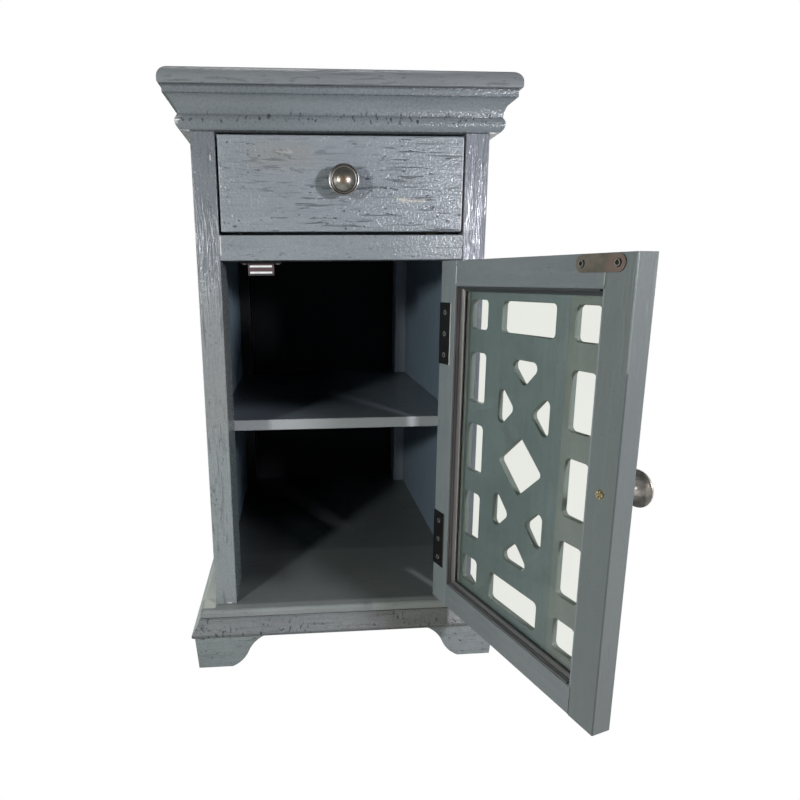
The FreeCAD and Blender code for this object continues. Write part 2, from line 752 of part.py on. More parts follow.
catch_x = -half_opening + catch_inset
strike_middle = door_edge - catch_x + strike_shift
strike_level = rail_bottom - catch_flange_thickness - catch_height / 2 - door_low
strike_round = strike_height / 2
strike_near = strike_middle - strike_length / 2 + strike_round
strike_far = strike_middle + strike_length / 2 - strike_round
strike_outline = [
    (strike_near, strike_level - strike_round, 0), (strike_far, strike_level - strike_round, strike_round),
    (strike_far, strike_level + strike_round, 0), (strike_near, strike_level + strike_round, strike_round),
]
strike = outline_face(strike_outline, lambda s, h: door_point(s, h, 0))
strike = strike.extrude(Vector(0, strike_thickness, 0))
strike_screws = []
strike_screw_holes = []
for side in (-1, 1):
    spot = door_point(strike_middle + side * strike_screw_spacing / 2, strike_level, -strike_thickness)
    body, hole = small_screw(spot, Vector(0, 1, 0))
    strike_screws.append(body)
    strike_screw_holes.append(hole)
door_parts["strike_plate"] = all_cut(strike, strike_screw_holes)
door_parts["strike_screws"] = Part.makeCompound(strike_screws)

catch_front = door_inner + strike_thickness + small_head_height + catch_stand_off
catch_top = rail_bottom - catch_flange_thickness
catch_body = box(
    catch_x - catch_width / 2, catch_x + catch_width / 2, catch_front, catch_front + catch_depth,
    catch_top - catch_height, catch_top)
catch_flange = box(
    catch_x - catch_flange_width / 2, catch_x + catch_flange_width / 2, catch_front,
    catch_front + catch_depth, catch_top, rail_bottom)
poles = []
for side in (-1, 1):
    z = catch_top - catch_height / 2 + side * catch_pole_spread / 2
    poles.append(box(
        catch_x - catch_width / 2 + catch_pole_margin, catch_x + catch_width / 2 - catch_pole_margin,
        catch_front - catch_pole_proud, catch_front + catch_pole_length,
        z - catch_pole_thickness / 2, z + catch_pole_thickness / 2))
catch_screws = []
catch_screw_holes = []
driver_ways = []
for side in (-1, 1):
    spot = Vector(catch_x + side * catch_screw_spacing / 2, catch_front + catch_depth / 2, catch_top)
    body, hole = small_screw(spot, Vector(0, 0, -1))
    catch_screws.append(body)
    catch_screw_holes.append(hole)
    driver_ways.append(Part.makeCylinder(
        small_head_radius + screw_passage, catch_height, spot, Vector(0, 0, -1)))
catch_housing = catch_body.fuse(catch_flange).removeSplitter()
nodes["catch_housing"] = all_cut(catch_housing, poles + catch_screw_holes + driver_ways)
nodes["catch_poles"] = Part.makeCompound(poles)
nodes["catch_screws"] = Part.makeCompound(catch_screws)
front_rail = box(-half_opening, half_opening, front, front + front_rail_depth, rail_bottom, rail_top)
front_rail = eased(front_rail, edge_radius, level_at_the_front(front))
nodes["front_rail"] = all_cut(front_rail, catch_screw_holes)

# Door frame, its knob, and the swing into the open position

knob_place = door_point(door_width - door_knob_inset, door_height / 2 + door_knob_rise, door_thickness)
knob, fastener, passage = knob_and_screw(door_thickness, knob_place, Vector(0, -1, 0))
door_parts["door_knob"] = knob
door_parts["door_knob_screw"] = fastener

hinge_stile = door_box(0, frame_near, 0, door_height, 0, door_thickness)
hinge_stile = eased(hinge_stile, door_edge_radius, runs_along("Z"))
free_stile = door_box(frame_far, door_width, 0, door_height, 0, door_thickness)
free_stile = eased(free_stile, door_edge_radius, runs_along("Z"))
top_rail = door_box(frame_near, frame_far, frame_high, door_height, 0, door_thickness)
top_rail = eased(top_rail, door_edge_radius, runs_along("X"))
bottom_rail = door_box(frame_near, frame_far, 0, frame_low, 0, door_thickness)
bottom_rail = eased(bottom_rail, door_edge_radius, runs_along("X"))
door_parts["door_stile_hinge"] = all_cut(hinge_stile, [fret_blank] + door_pockets + door_screw_holes)
door_parts["door_stile_free"] = all_cut(free_stile, [fret_blank, passage] + strike_screw_holes)
door_parts["door_rail_top"] = all_cut(top_rail, [fret_blank] + strike_screw_holes)
door_parts["door_rail_bottom"] = bottom_rail.cut(fret_blank)

for name, shape in door_parts.items():
    swung = shape.copy()
    swung.rotate(Vector(pin_x, pin_y, 0), Vector(0, 0, 1), door_open_angle)
    nodes[name] = swung

os.makedirs("parts", exist_ok=True)
for name, shape in nodes.items():
    shape.exportStep("parts/" + name + ".step")
    print(name, len(shape.Solids), "solids", round(shape.Volume / 1000, 2), "cm3", shape.isValid())
print(len(nodes), "nodes; hinge axis at", round(pin_x, 3), round(pin_y, 3))
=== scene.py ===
# %% [markdown]
# # A painted storage table
# The table is a small chairside cabinet: a crowned top, one drawer, a glazed fret door that stands open, a
# shelf, and a moulded base on bracket feet. Its boards, hinges and knobs could be modelled again here, but
# they arrive as a fixed frame in real sizes and with the right shapes. So this lesson is about finishes:
# brushed paint over open grain, antique metal and clear glass.

# %% Open the frame
import json
import math
from types import SimpleNamespace

import bpy
from mathutils import Matrix, Vector

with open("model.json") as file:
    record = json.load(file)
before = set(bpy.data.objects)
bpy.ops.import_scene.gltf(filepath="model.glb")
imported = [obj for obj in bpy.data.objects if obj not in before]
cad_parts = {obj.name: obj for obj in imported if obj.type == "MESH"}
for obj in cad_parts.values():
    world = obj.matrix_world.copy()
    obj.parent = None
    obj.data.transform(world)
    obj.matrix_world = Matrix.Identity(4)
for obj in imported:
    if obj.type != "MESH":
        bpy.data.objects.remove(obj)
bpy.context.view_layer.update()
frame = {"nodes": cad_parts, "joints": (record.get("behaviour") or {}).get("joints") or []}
nodes = frame["nodes"]

# %% [markdown]
# ## The camera
# The photograph was taken from just under the drawer's height, close in front and a little to the left, with
# a wide lens tipped down. A camera can be set by eye, but a close one gives the strong narrowing towards the
# feet, so its place matters more than its lens. The place, the three turns and the focal length below were
# fitted to the edges of the posts, the rails and the open door. The picture was also cropped off centre, and
# the shift repeats that.

# %% Place the camera
image_side = 800
focal_length_pixels = 613.93
image_middle_pixels = (339.68, 417.07)
camera_place = (-0.0531, -0.8909, 0.4371)
camera_turns_degrees = (77.197, 0.395, -4.314)
sensor_millimetres = 36.0
nearest_seen = 0.01

lens = bpy.data.cameras.new("camera")
lens.sensor_width = sensor_millimetres
lens.lens = focal_length_pixels * sensor_millimetres / image_side
lens.shift_x = (image_side / 2 - image_middle_pixels[0]) / image_side
lens.shift_y = (image_middle_pixels[1] - image_side / 2) / image_side
lens.clip_start = nearest_seen
camera = bpy.data.objects.new("camera", lens)
camera.location = camera_place
camera.rotation_euler = [math.radians(turn) for turn in camera_turns_degrees]
scene = bpy.context.scene
scene.collection.objects.link(camera)
scene.camera = camera
print("camera: lens", round(lens.lens, 2), "mm, shift", round(lens.shift_x, 4), round(lens.shift_y, 4))

# %% [markdown]
# ## Sums on sockets
# A finish is a tree of shader nodes, and most of them only add, subtract or multiply. They could be placed by
# hand in the shader editor, but sums drawn as boxes are hard to read. So a small class wraps one output of a
# node and turns Python's own plus, minus and times into Math nodes, whichever side the plain number is on.

# %% A socket that can be reckoned with
class Wire:
    """One output of a node, on which sums can be written."""

    def __init__(self, tree, socket):
        self.tree = tree
        self.socket = socket

    def reckon(self, operation, first, second):
        return self.tree.add("ShaderNodeMath", {"operation": operation}, {0: first, 1: second})

    def __add__(self, other):
        return self.reckon("ADD", self, other)

    def __radd__(self, other):
        return self.reckon("ADD", other, self)

    def __sub__(self, other):
        return self.reckon("SUBTRACT", self, other)

    def __rsub__(self, other):
        return self.reckon("SUBTRACT", other, self)

    def __mul__(self, other):
        return self.reckon("MULTIPLY", self, other)

    def __rmul__(self, other):
        return self.reckon("MULTIPLY", other, self)

    def apart(self, other):
        """How far the value is from another, either way."""
        return self.reckon("ABSOLUTE", self - other, 0.0)


print("a wire knows plus, minus and times, and how far apart two values are")

# %% [markdown]
# ## Any other node
# Textures, colour mixes and shaders are nodes too, each kind with its own settings and sockets. Every kind
# could have a helper, but one method can add any of them. It makes the settings first, because some of them
# change which sockets there are, and then fills each input with a value or a link. The same tree serves a
# material and the world round the table.

# %% A tree of nodes
class Tree:
    """A material under construction, or the world round the table."""

    def __init__(self, name, shelf=bpy.data.materials):
        self.owner = shelf.new(name)
        self.owner.use_nodes = True
        self.nodes = self.owner.node_tree.nodes
        self.links = self.owner.node_tree.links
        self.nodes.clear()

    def add(self, kind, settings=None, inputs=None, output=0):
        """Adds a node, with its settings first and then its inputs, and gives one of its outputs."""
        node = self.nodes.new(kind)
        for name, value in (settings or {}).items():
            setattr(node, name, value)
        for name, value in (inputs or {}).items():
            if isinstance(value, Wire):
                self.links.new(value.socket, node.inputs[name])
            else:
                node.inputs[name].default_value = value
        return Wire(self, node.outputs[output]) if node.outputs else None

    def close(self, surface, output="ShaderNodeOutputMaterial"):
        """Puts the shader on the output and gives what was finished."""
        self.add(output, inputs={"Surface": surface})
        return self.owner


print("trees start with", len(bpy.data.materials), "materials on the shelf")

# %% [markdown]
# ## The swing of the open door
# The door hangs on two hinge pins and stands open, so its boards lie askew in the frame. Grain that follows a
# board could be turned by hand for every piece of the door. It is easier to swing each point of the open door
# back about the pin and to work out the finish on the closed door, where every board lies square.

# %% Find the hinge pin
door_opening_degrees = 108.0

door_hinge = next(joint for joint in frame["joints"] if joint["name"] == "door_hinge")
pin = Vector(door_hinge["pos_m"])
door_swing = math.radians(door_opening_degrees)
door_return = pin - Matrix.Rotation(-door_swing, 3, "Z") @ pin
print("hinge pin at", [round(value, 4) for value in pin], "and open by", door_opening_degrees, "degrees")

# %% [markdown]
# ## What most finishes share
# Paint, wood and metal all ask the same few questions: where on the piece is this point, how cloudy is it
# here, is it inside a worn corner, and which of two colours does it show. Each answer is a few nodes that
# could be copied from finish to finish. Here each becomes one method with a plain name, on Object coordinates
# in metres, so that a size in a finish is a size on the table.

# %% A finish and its helpers
def solid(colour):
    """Red, green and blue with a full alpha, as a socket takes them."""
    return tuple(colour) + (1.0,)


class Finish(Tree):
    """A material, with the helpers that most finishes share."""

    def place(self):
        """The point on the piece."""
        return self.add("ShaderNodeTexCoord", output="Object")

    def door_place(self):
        """The same point on the closed door: swung back about the hinge pin."""
        inputs = {"Vector": self.place(), "Rotation": (0.0, 0.0, -door_swing), "Location": door_return}
        return self.add("ShaderNodeMapping", {"vector_type": "POINT"}, inputs)

    def axis(self, point, letter):
        """One coordinate of a point."""
        return self.add("ShaderNodeSeparateXYZ", inputs={"Vector": point}, output=letter)

    def radius(self, point, centre):
        """How far a point is from the line that runs from front to back through a centre."""
        flat = self.add("ShaderNodeVectorMath", {"operation": "MULTIPLY"}, {0: point, 1: (1.0, 0.0, 1.0)})
        return self.add("ShaderNodeVectorMath", {"operation": "DISTANCE"}, {0: flat, 1: centre}, "Value")

    def noise(self, point, per_metre, detail=2.0, roughness=0.5):
        """Cloudy noise from 0 to 1, with so many blots per metre along each axis."""
        scaled = self.add("ShaderNodeMapping", inputs={"Vector": point, "Scale": per_metre})
        inputs = {"Vector": scaled, "Scale": 1.0, "Detail": detail, "Roughness": roughness}
        return self.add("ShaderNodeTexNoise", inputs=inputs)

    def step(self, value, low, high):
        """0 below low, 1 above high, and a smooth step between them."""
        settings = {"interpolation_type": "SMOOTHSTEP"}
        return self.add("ShaderNodeMapRange", settings, {"Value": value, "From Min": low, "From Max": high})

    def between(self, value, low, high, softness):
        """1 from low to high and 0 outside, with soft ends."""
        rise = self.step(value, low - softness, low + softness)
        return rise * (1.0 - self.step(value, high - softness, high + softness))

    def within(self, point, limits, softness, wobble=0.0):
        """1 inside the limits that are given for some axes and 0 outside, with soft edges that may wobble."""
        share = 1.0
        for letter, (low, high) in limits.items():
            share = share * self.between(self.axis(point, letter) + wobble, low, high, softness)
        return share

    def mix(self, share, first, second):
        """A colour between two others."""
        settings = {"data_type": "RGBA"}
        return self.add("ShaderNodeMix", settings, {"Factor": share, "A": first, "B": second}, "Result")

    def patched(self, colour, point, patches):
        """The colour with patches over it, each of them (limits, softness, colour, strength)."""
        for limits, softness, stain, strength in patches:
            colour = self.mix(self.within(point, limits, softness) * strength, colour, solid(stain))
        return colour

    def bump(self, height, depth):
        """A surface relief: height from 0 to 1 stands for so many metres of depth."""
        return self.add("ShaderNodeBump", inputs={"Height": height, "Distance": depth, "Strength": 1.0})

    def principled(self, inputs):
        """Ends the finish in the general shader, with these inputs."""
        return self.close(self.add("ShaderNodeBsdfPrincipled", inputs=inputs))


print("helpers:", ", ".join(name for name in vars(Finish) if not name.startswith("_")))

# %% [markdown]
# ## Dressing a piece
# A piece of the frame shows whatever is in its material slots. They could be filled by hand in the material
# tab, piece by piece. Pieces cut from the same stock get the same finish here, in one line that names them.

# %% Put a finish on pieces of the frame
dressed = []


def dress(material, *names):
    """Gives the named pieces one finish, in place of the plain one that they came with."""
    for name in names:
        slots = nodes[name].data.materials
        slots.clear()
        slots.append(material)
    dressed.extend(names)
    print(material.name, "on", ", ".join(names))


print(len(nodes), "pieces to dress")

# %% [markdown]
# ## The floor and the backdrop
# The photograph has a plain white ground. A lit white sheet could give it, but it would throw too much light
# into the cabinet, whose inside falls away to black. So the card is white only where the camera looks
# straight at it, and for every other ray it is a duller sheet in a dim room. The view transform is the plain
# one, which leaves the colours as they are mixed.

# %% White card and a dim room
card_white = (1.0, 1.0, 1.0)
card_bounce = (0.5, 0.5, 0.485)
room_grey = (0.006, 0.0065, 0.008)
floor_side = 8.0

scene.view_settings.view_transform = "Standard"

card = Tree("white_card")
seen = card.add("ShaderNodeEmission", inputs={"Color": solid(card_white)})
felt = card.add("ShaderNodeBsdfDiffuse", inputs={"Color": solid(card_bounce)})
looked_at = card.add("ShaderNodeLightPath", output="Is Camera Ray")
card_material = card.close(card.add("ShaderNodeMixShader", inputs={0: looked_at, 1: felt, 2: seen}))

bpy.ops.object.select_all(action="DESELECT")
bpy.ops.mesh.primitive_plane_add(size=floor_side)
floor = bpy.context.object
floor.name = "floor"
floor.data.materials.append(card_material)

room = Tree("room", bpy.data.worlds)
dim = room.add("ShaderNodeBackground", inputs={"Color": solid(room_grey)})
white = room.add("ShaderNodeBackground", inputs={"Color": solid(card_white)})
looked_at = room.add("ShaderNodeLightPath", output="Is Camera Ray")
backdrop = room.add("ShaderNodeMixShader", inputs={0: looked_at, 1: dim, 2: white})
scene.world = room.close(backdrop, "ShaderNodeOutputWorld")
print("studio: a floor of", floor_side, "m in a dim room")

# %% [markdown]
# ## The lamps
# The knob on the drawer throws two soft shadows, one to either side. That tells of two small lamps left and
# right of the camera, a little above it. One large lamp would be softer, but it would lose the pair of
# shadows. Wide, dim lamps at the walls, behind and above only fill in the sides, the back and the top. Those
# at the right, behind and above have a narrow spread, which keeps them out of the cabinet.

# %% Hang the lamps
low_front = (0.0, -0.235, -0.05)
middle = (0.0, 0.0, 0.35)
upper_rear = (0.0, 0.2, 0.63)
plain_light = (1.0, 1.0, 1.0)
lamps = {  # place, aim, tint, watts, width in metres, spread in degrees
    "lamp_left": ((-0.583, -0.935, 0.56), low_front, (0.97, 1.0, 0.96), 4.6, 0.09, 180.0),
    "lamp_right": ((0.474, -0.935, 0.56), low_front, (1.0, 0.985, 1.05), 5.4, 0.09, 180.0),
    "wall_left": ((-1.6, -0.5, 0.35), low_front, (1.0, 1.0, 0.97), 9.0, 1.2, 180.0),
    "wall_right": ((1.5, 0.4, 0.4), middle, plain_light, 3.0, 1.8, 70.0),
    "wall_rear": ((0.2, 1.7, 0.3), middle, plain_light, 3.5, 1.4, 70.0),
    "ceiling": ((0.0, 0.4, 2.1), upper_rear, plain_light, 1.9, 1.0, 50.0),
}

for name, (place, aim, tint, watts, width, spread) in lamps.items():
    light = bpy.data.lights.new(name, "AREA")
    light.shape = "DISK"
    light.size = width
    light.energy = watts
    light.color = tint
    light.spread = math.radians(spread)
    lamp = bpy.data.objects.new(name, light)
    lamp.location = place
    lamp.rotation_euler = (Vector(aim) - Vector(place)).to_track_quat("-Z", "Y").to_euler()
    scene.collection.objects.link(lamp)
print("lamps:", ", ".join(lamps))

# %% [markdown]
# ## Brushed paint over open grain
# The boards were wire-brushed along the grain, which scrapes out the soft spring wood and leaves ridges, and
# then painted blue-grey. Paint pools in the hollows and wears off the ridges. A photograph of the boards
# could be wrapped round them, but it would carry its own light along. Noise that is stretched along the grain
# gives the same streaks at the right size, and on any board: the grain runs up a post and across a rail.

# %% Paint colours and the direction of the grain
paint_dark = (0.070, 0.078, 0.090)
paint_middle = (0.215, 0.240, 0.258)
paint_light = (0.262, 0.290, 0.310)
purple_brown = (0.16, 0.145, 0.15)
# a near black for dirt, and for painted shade in grooves, steps, joints and undersides
shade_and_grime = (0.035, 0.038, 0.040)
untinted = (1.0, 1.0, 1.0)
grain_stretch = 0.055
usual_fineness = 210.0


def tinted(colour, tint):
    """A colour for a socket: red, green and blue times a tint."""
    return solid(part * share for part, share in zip(colour, tint))


def along(grain, fineness, stretch=grain_stretch):
    """Blots per metre on each axis, stretched along the grain."""
    return tuple(fineness * (stretch if letter == grain else 1.0) for letter in "XYZ")


def even(fineness):
    """As many blots per metre along every axis."""
    return (fineness, fineness, fineness)


print("blots per metre on a post:", along("Z", usual_fineness))

# %% [markdown]
# ## Layers of the grain
# Real grain is several things at once: brushed crests, dark strokes, short dashes, fibres, broad clouds of
# thicker paint and fine specks. One noise with much detail could stand for all of them, but then they would
# all have one size. So each gets a noise of its own size and stretch. Grain also wanders a little, and a slow
# noise bends the layers that follow the wood. The shift gives each board another part of the pattern.

# %% Noises for one board
wander_fineness = 45.0
wander_stretch = 0.35
wander_reach = 0.009
crest_roughness = 0.55
hole_fineness, hole_stretch, hole_detail = 330.0, 0.4, 1.0
bent_layers = {  # blots per metre, stretch along the grain, detail, roughness
    "strokes": (420.0, grain_stretch, 1.0, 0.5),
    "contour": (130.0, 0.045, 1.0, 0.5),
    "fibres": (800.0, 0.05, 2.0, 0.5),
}
straight_layers = {
    "dashes": (230.0, 0.14, 2.0, 0.5),
    "groups": (26.0, 0.4, 2.0, 0.5),
    "blots": (170.0, 1.0, 3.0, 0.65),
    "clouds": (11.0, 1.0, 3.0, 0.5),
    "specks": (420.0, 1.0, 2.0, 0.5),
}


def grain_layers(finish, point, grain, fine, nick, shift):
    """The noises of one board: crests as fine as told, and holes that run along their own axis."""
    moved = finish.add("ShaderNodeVectorMath", {"operation": "ADD"}, {0: point, 1: even(shift)})
    sway = finish.noise(moved, along(grain, wander_fineness, wander_stretch)) * wander_reach
    swayed = finish.add("ShaderNodeCombineXYZ", inputs={0: sway, 1: sway, 2: sway})
    bent = finish.add("ShaderNodeVectorMath", {"operation": "ADD"}, {0: moved, 1: swayed})
    layers = SimpleNamespace(
        crests=finish.noise(bent, along(grain, fine), roughness=crest_roughness),
        holes=finish.noise(bent, along(nick, hole_fineness, hole_stretch), hole_detail))
    for start, table in ((bent, bent_layers), (moved, straight_layers)):
        for layer, (fineness, stretch, detail, roughness) in table.items():
            wire = finish.noise(start, along(grain, fineness, stretch), detail, roughness)
            setattr(layers, layer, wire)
    return layers


print("layers of grain:", ", ".join(["crests", "holes", *bent_layers, *straight_layers]))

# %% [markdown]
# ## Marks in the paint
# A dark stroke is where its noise is high, a pit likewise, and both come in groups, as the soft rings of the
# wood do. A hair line is a contour: the places where a noise passes through its middle value form long wavy
# lines, and the dashes break them up. Crests are contours too, but broad ones that stand up. Marks could be
# painted by hand, but limits do it here: a mark can be kept to one part of a board.

# %% Where the marks are
middle_value = 0.5
group_steps = (0.36, 0.52)
stroke_steps = (0.60, 0.70)
hair_steps = (0.004, 0.02)
dash_steps = (0.44, 0.54)
pit_rise = 0.08
crest_steepness = 4.0
dull_glint = 0.25
mark_softness = {"ridges": 0.03, "lines": 0.04, "pits": 0.002, "glints": 0.06}


def paint_marks(finish, point, layers, pit_level, limits):
    """Strokes, hair lines, pits, crests and glints, from 0 to 1, and some of them only within limits."""
    def share(mark):
        return finish.within(point, limits[mark], mark_softness[mark]) if mark in limits else 1.0

    group = finish.step(layers.groups, *group_steps)
    near_contour = 1.0 - finish.step(layers.contour.apart(middle_value), *hair_steps)
    return SimpleNamespace(
        line=finish.step(layers.strokes, *stroke_steps) * group * share("lines"),
        hair=near_contour * finish.step(layers.dashes, *dash_steps),
        pit=finish.step(layers.holes, pit_level, pit_level + pit_rise) * group * share("pits"),
        crest=(1.0 - layers.crests.apart(middle_value) * crest_steepness) * share("ridges"),
        glint=layers.specks * (dull_glint + share("glints") * (1.0 - dull_glint)))


print("marks that can have limits:", ", ".join(mark_softness))

# %% [markdown]
# ## The painted finish
# The paint's own tone comes first, then washes of another tone under the marks, some of them painted light
# and shade, then the marks, then patches where the paint is dirty or worn or where light and shade are
# painted over them, and last the scuffs, where it is scraped off in ragged fibres. The same crests, glints,
# strokes and pits shape the relief, so light catches what the eye sees as a mark. The order could be another
# one, but this is the order in which a real board gets them.

# %% One board of paint
paint_relief = 0.0008
mark_depth = 0.5
hair_strength = 0.5
crest_tone, cloud_tone, speck_tone = 0.3, 0.5, 0.25
tone_steps = (0.36, 0.70)
blot_steps = (0.48, 0.66)
fibre_steps = (0.42, 0.52)
crest_raggedness, speck_raggedness = 0.008, 0.006
speck_roughness, line_roughness = 0.2, 0.2


def painted(name, grain, ridges=0.5, fine=usual_fineness, lines=0.6, pits=0.6, sparkle=0.25, mottle=0.0,
            roughness=0.32, shine=0.5, tint=untinted, shift=0.0, door=False, nick=None, pit_level=0.66,
            limits=None, washes=(), patches=(), scuffs=()):
    """Blue-grey paint on a board whose grain runs along one axis.

    Ridges, lines, pits and sparkle say how strong the marks are, fine how many crests there are, and mottle
    how strong the purplish blots are. Shine is the specular level. A lower pit level gives more pits, and
    nick is their axis where it isn't the grain's. Washes, patches and scuffs are (limits, softness, colour,
    strength), and a limit well past the piece leaves that end open."""
    finish = Finish(name)
    point = finish.door_place() if door else finish.place()
    layers = grain_layers(finish, point, grain, fine, nick or grain, shift)
    marks = paint_marks(finish, point, layers, pit_level, limits or {})
    raised = marks.crest * ridges + marks.glint * sparkle
    height = raised - marks.line * (mark_depth * lines) - marks.pit * (mark_depth * pits)

    dark = tinted(paint_dark, tint)
    tone = layers.crests * crest_tone + layers.clouds * cloud_tone + layers.specks * speck_tone
    thickness = finish.step(tone, *tone_steps)
    colour = finish.mix(thickness, tinted(paint_middle, tint), tinted(paint_light, tint))
    colour = finish.patched(colour, point, washes)
    if mottle:
        blots = finish.step(layers.blots, *blot_steps)
        colour = finish.mix(blots * mottle, colour, solid(purple_brown))
    colour = finish.mix(marks.hair * (hair_strength * lines), colour, dark)
    colour = finish.mix(marks.line * lines, colour, dark)
    colour = finish.mix(marks.pit * pits, colour, dark)
    colour = finish.patched(colour, point, patches)

    grainy = layers.specks - middle_value
    ragged = (layers.crests - middle_value) * crest_raggedness + grainy * speck_raggedness
    for box, softness, stain, strength in scuffs:
        fibres = finish.step(layers.fibres, *fibre_steps)
        worn = finish.within(point, box, softness, ragged) * fibres
        colour = finish.mix(worn * strength, colour, solid(stain))
    return finish.principled({
        "Base Color": colour, "Specular IOR Level": shine, "Normal": finish.bump(height, paint_relief),
        "Roughness": roughness + grainy * speck_roughness + marks.line * line_roughness})


print("paint between", paint_middle, "and", paint_light, "with a relief of", paint_relief, "m")

# %% [markdown]
# ## The front posts
# The posts are solid lengths, brushed harder than the rest, and the lamps pick out their ridges as bright
# upright streaks. The left one is greener towards the foot, and it is painted bluer and darker as shade
# towards the top, in a band at the rail's height and on its side towards the door opening. Two paints would
# meet in a line, so soft washes change the tone along the post. A nick at the foot and one below the crown
# show the primer.

# %% Left and right front post
primer_white = (0.72, 0.72, 0.71)
# a pale blue for the primer, and for a painted highlight along the drawer's edge
primer_and_highlight_blue = (0.75, 0.75, 0.76)
# greener and warmer tones low down; painted shade at the top, at the rail's height and on the inner side
post_tone_and_shade = (
    ({"Z": (0.0, 0.3)}, 0.08, (0.225, 0.248, 0.245), 0.55),
    # painted shade on the side towards the door opening
    ({"X": (-0.1264, -0.12)}, 0.0003, (0.15, 0.19, 0.19), 0.7),  # the side towards the door opening
    ({"Z": (0.52, 0.7)}, 0.05, (0.155, 0.17, 0.19), 0.85),
    ({"Z": (0.435, 0.52)}, 0.015, (0.135, 0.145, 0.172), 0.6),
    ({"Z": (0.27, 0.43)}, 0.03, (0.235, 0.232, 0.228), 0.45),
)
post_nicks = (
    ({"X": (-0.1365, -0.132), "Z": (0.06, 0.0702)}, 0.0006, primer_white, 0.85),
    ({"X": (-0.1316, -0.1306), "Z": (0.551, 0.556)}, 0.0006, primer_and_highlight_blue, 0.8),
)
dress(painted("paint_post_left", "Z", fine=330.0, roughness=0.27, shift=0.02,
              limits={"ridges": {"Z": (0.1, 0.505)}}, washes=post_tone_and_shade, patches=post_nicks),
      "post_front_left")
dress(painted("paint_post_right", "Z", ridges=0.9, lines=0.3, pits=0.3, roughness=0.22,
              tint=(0.95, 0.93, 0.98), shift=0.31), "post_front_right")

# %% [markdown]
# ## Side panels and rear posts
# The panels are let into the posts and were brushed more lightly. Inside the cabinet the paint is smoother
# and bluer, and each wall is painted lighter by its own amount as painted light. The rear left corner gets a
# near-black painted shade and the rear right post a lighter painted light. The inner faces could be dressed
# as pieces of their own, but a panel is one board, so patches on the inner side do it: limits on X tell
# inside from outside.

# %% Panels and rear posts
# each inner wall is painted lighter by its own amount, as painted light
wall_left, wall_right = (0.345, 0.48, 0.585), (0.245, 0.325, 0.41)
# painted shade in the rear left corner, and painted light on the rear right post
rear_left_painted_shade, rear_right_painted_light = (0.012, 0.013, 0.016), (0.44, 0.51, 0.58)
inside_walls_painted_light = (
    ({"X": (-0.1445, 0.0)}, 0.0005, wall_left, 0.9),
    ({"X": (0.0, 0.1445)}, 0.0005, wall_right, 0.9),
)
rear_painted_light_and_shade = (
    ({"X": (-0.1446, -0.1), "Y": (0.1, 0.2205)}, 0.0005, rear_left_painted_shade, 0.97),
    ({"X": (0.1, 0.1446), "Y": (0.1, 0.2205)}, 0.0005, rear_right_painted_light, 0.9),
)
dress(painted("paint_panels", "Z", ridges=0.25, lines=0.3, pits=0.3, shift=0.61, patches=inside_walls_painted_light),
      "side_panel_left", "side_panel_right")
dress(painted("paint_post_rear", "Z", ridges=0.3, lines=0.2, pits=0.2, shift=0.71, patches=rear_painted_light_and_shade),
      "post_rear_left", "post_rear_right")

# %% [markdown]
# ## The top
# The top board has a rounded edge, and the groove below it is painted dark as shade. Its grain runs across.
# The rounding is seen almost along its surface, where any ridge flares up as a white streak that the real
# edge does not have. So the ridges are kept to the flat of the board, the paint has little shine, and the
# rounding is painted a little darker as shade.

# %% The top board and the hidden rails
# painted shade in the groove under the top
under_top_shade = ({"Z": (0.6125, 0.6146)}, 0.0008, shade_and_grime, 0.55)
# painted shade on the front rounding
top_rounding_shade = ({"Y": (-0.3, -0.2535)}, 0.004, (0.165, 0.176, 0.180), 0.3)
dress(painted("paint_top", "X", ridges=0.3, lines=0.4, pits=0.4, shine=0.2, tint=(1.02, 1.0, 0.975),
              shift=0.17, limits={"ridges": {"Y": (-0.215, 0.4)}}, washes=[top_rounding_shade],
              patches=[under_top_shade]), "top_board", "rear_rail", "top_rail", "base_rail_rear")

# %% [markdown]
# ## The crown
# The crown is a run moulding: a cove between two grooves and a bead below. Its paint was stippled on, so it
# glitters in specks towards the right-hand lamp, and the bead is pricked with small upright nicks. The
# grooves and the left end are painted darker as shade, and the left end has a chip that shows the primer. The
# returns at the sides are dull, or their undersides would mirror the white floor, and those undersides get
# painted shade.

# %% Front crown and its returns
greenish = (0.97, 1.0, 0.95)
# painted shade in the grooves
crown_groove_shade = (
    under_top_shade,
    ({"Z": (0.6062, 0.6078)}, 0.0008, shade_and_grime, 0.25),
    ({"Z": (0.5898, 0.5916)}, 0.0008, shade_and_grime, 0.35),
)
# painted shade at the left end
crown_left_end_shade = ({"X": (-0.4, -0.06), "Y": (-0.3, -0.2)}, 0.12, (0.13, 0.14, 0.146), 0.65)
crown_chip = ({"X": (-0.3, -0.1555), "Z": (0.5835, 0.5885)}, 0.0022, (0.8, 0.8, 0.78), 0.9)
# painted shade on the undersides of the returns
crown_underside_shade = ({"Z": (0.5, 0.5785)}, 0.0004, (0.085, 0.1, 0.09), 0.85)
side_board = {"ridges": 0.25, "lines": 0.2, "pits": 0.5}
dress(painted("paint_crown", "X", ridges=0.15, lines=0.05, pits=1.0, sparkle=0.75, roughness=0.28,
              tint=(0.79, 0.81, 0.815), shift=0.23, nick="Z", pit_level=0.60,
              limits={"pits": {"Z": (0.583, 0.5935)}, "glints": {"X": (0.0, 0.4)}},
              washes=[crown_left_end_shade], patches=crown_groove_shade, scuffs=[crown_chip]), "crown_front")
dress(painted("paint_crown_sides", "Y", **side_board, shine=0.05, tint=greenish, shift=0.37,
              patches=[*crown_groove_shade, crown_underside_shade]), "crown_left", "crown_right")
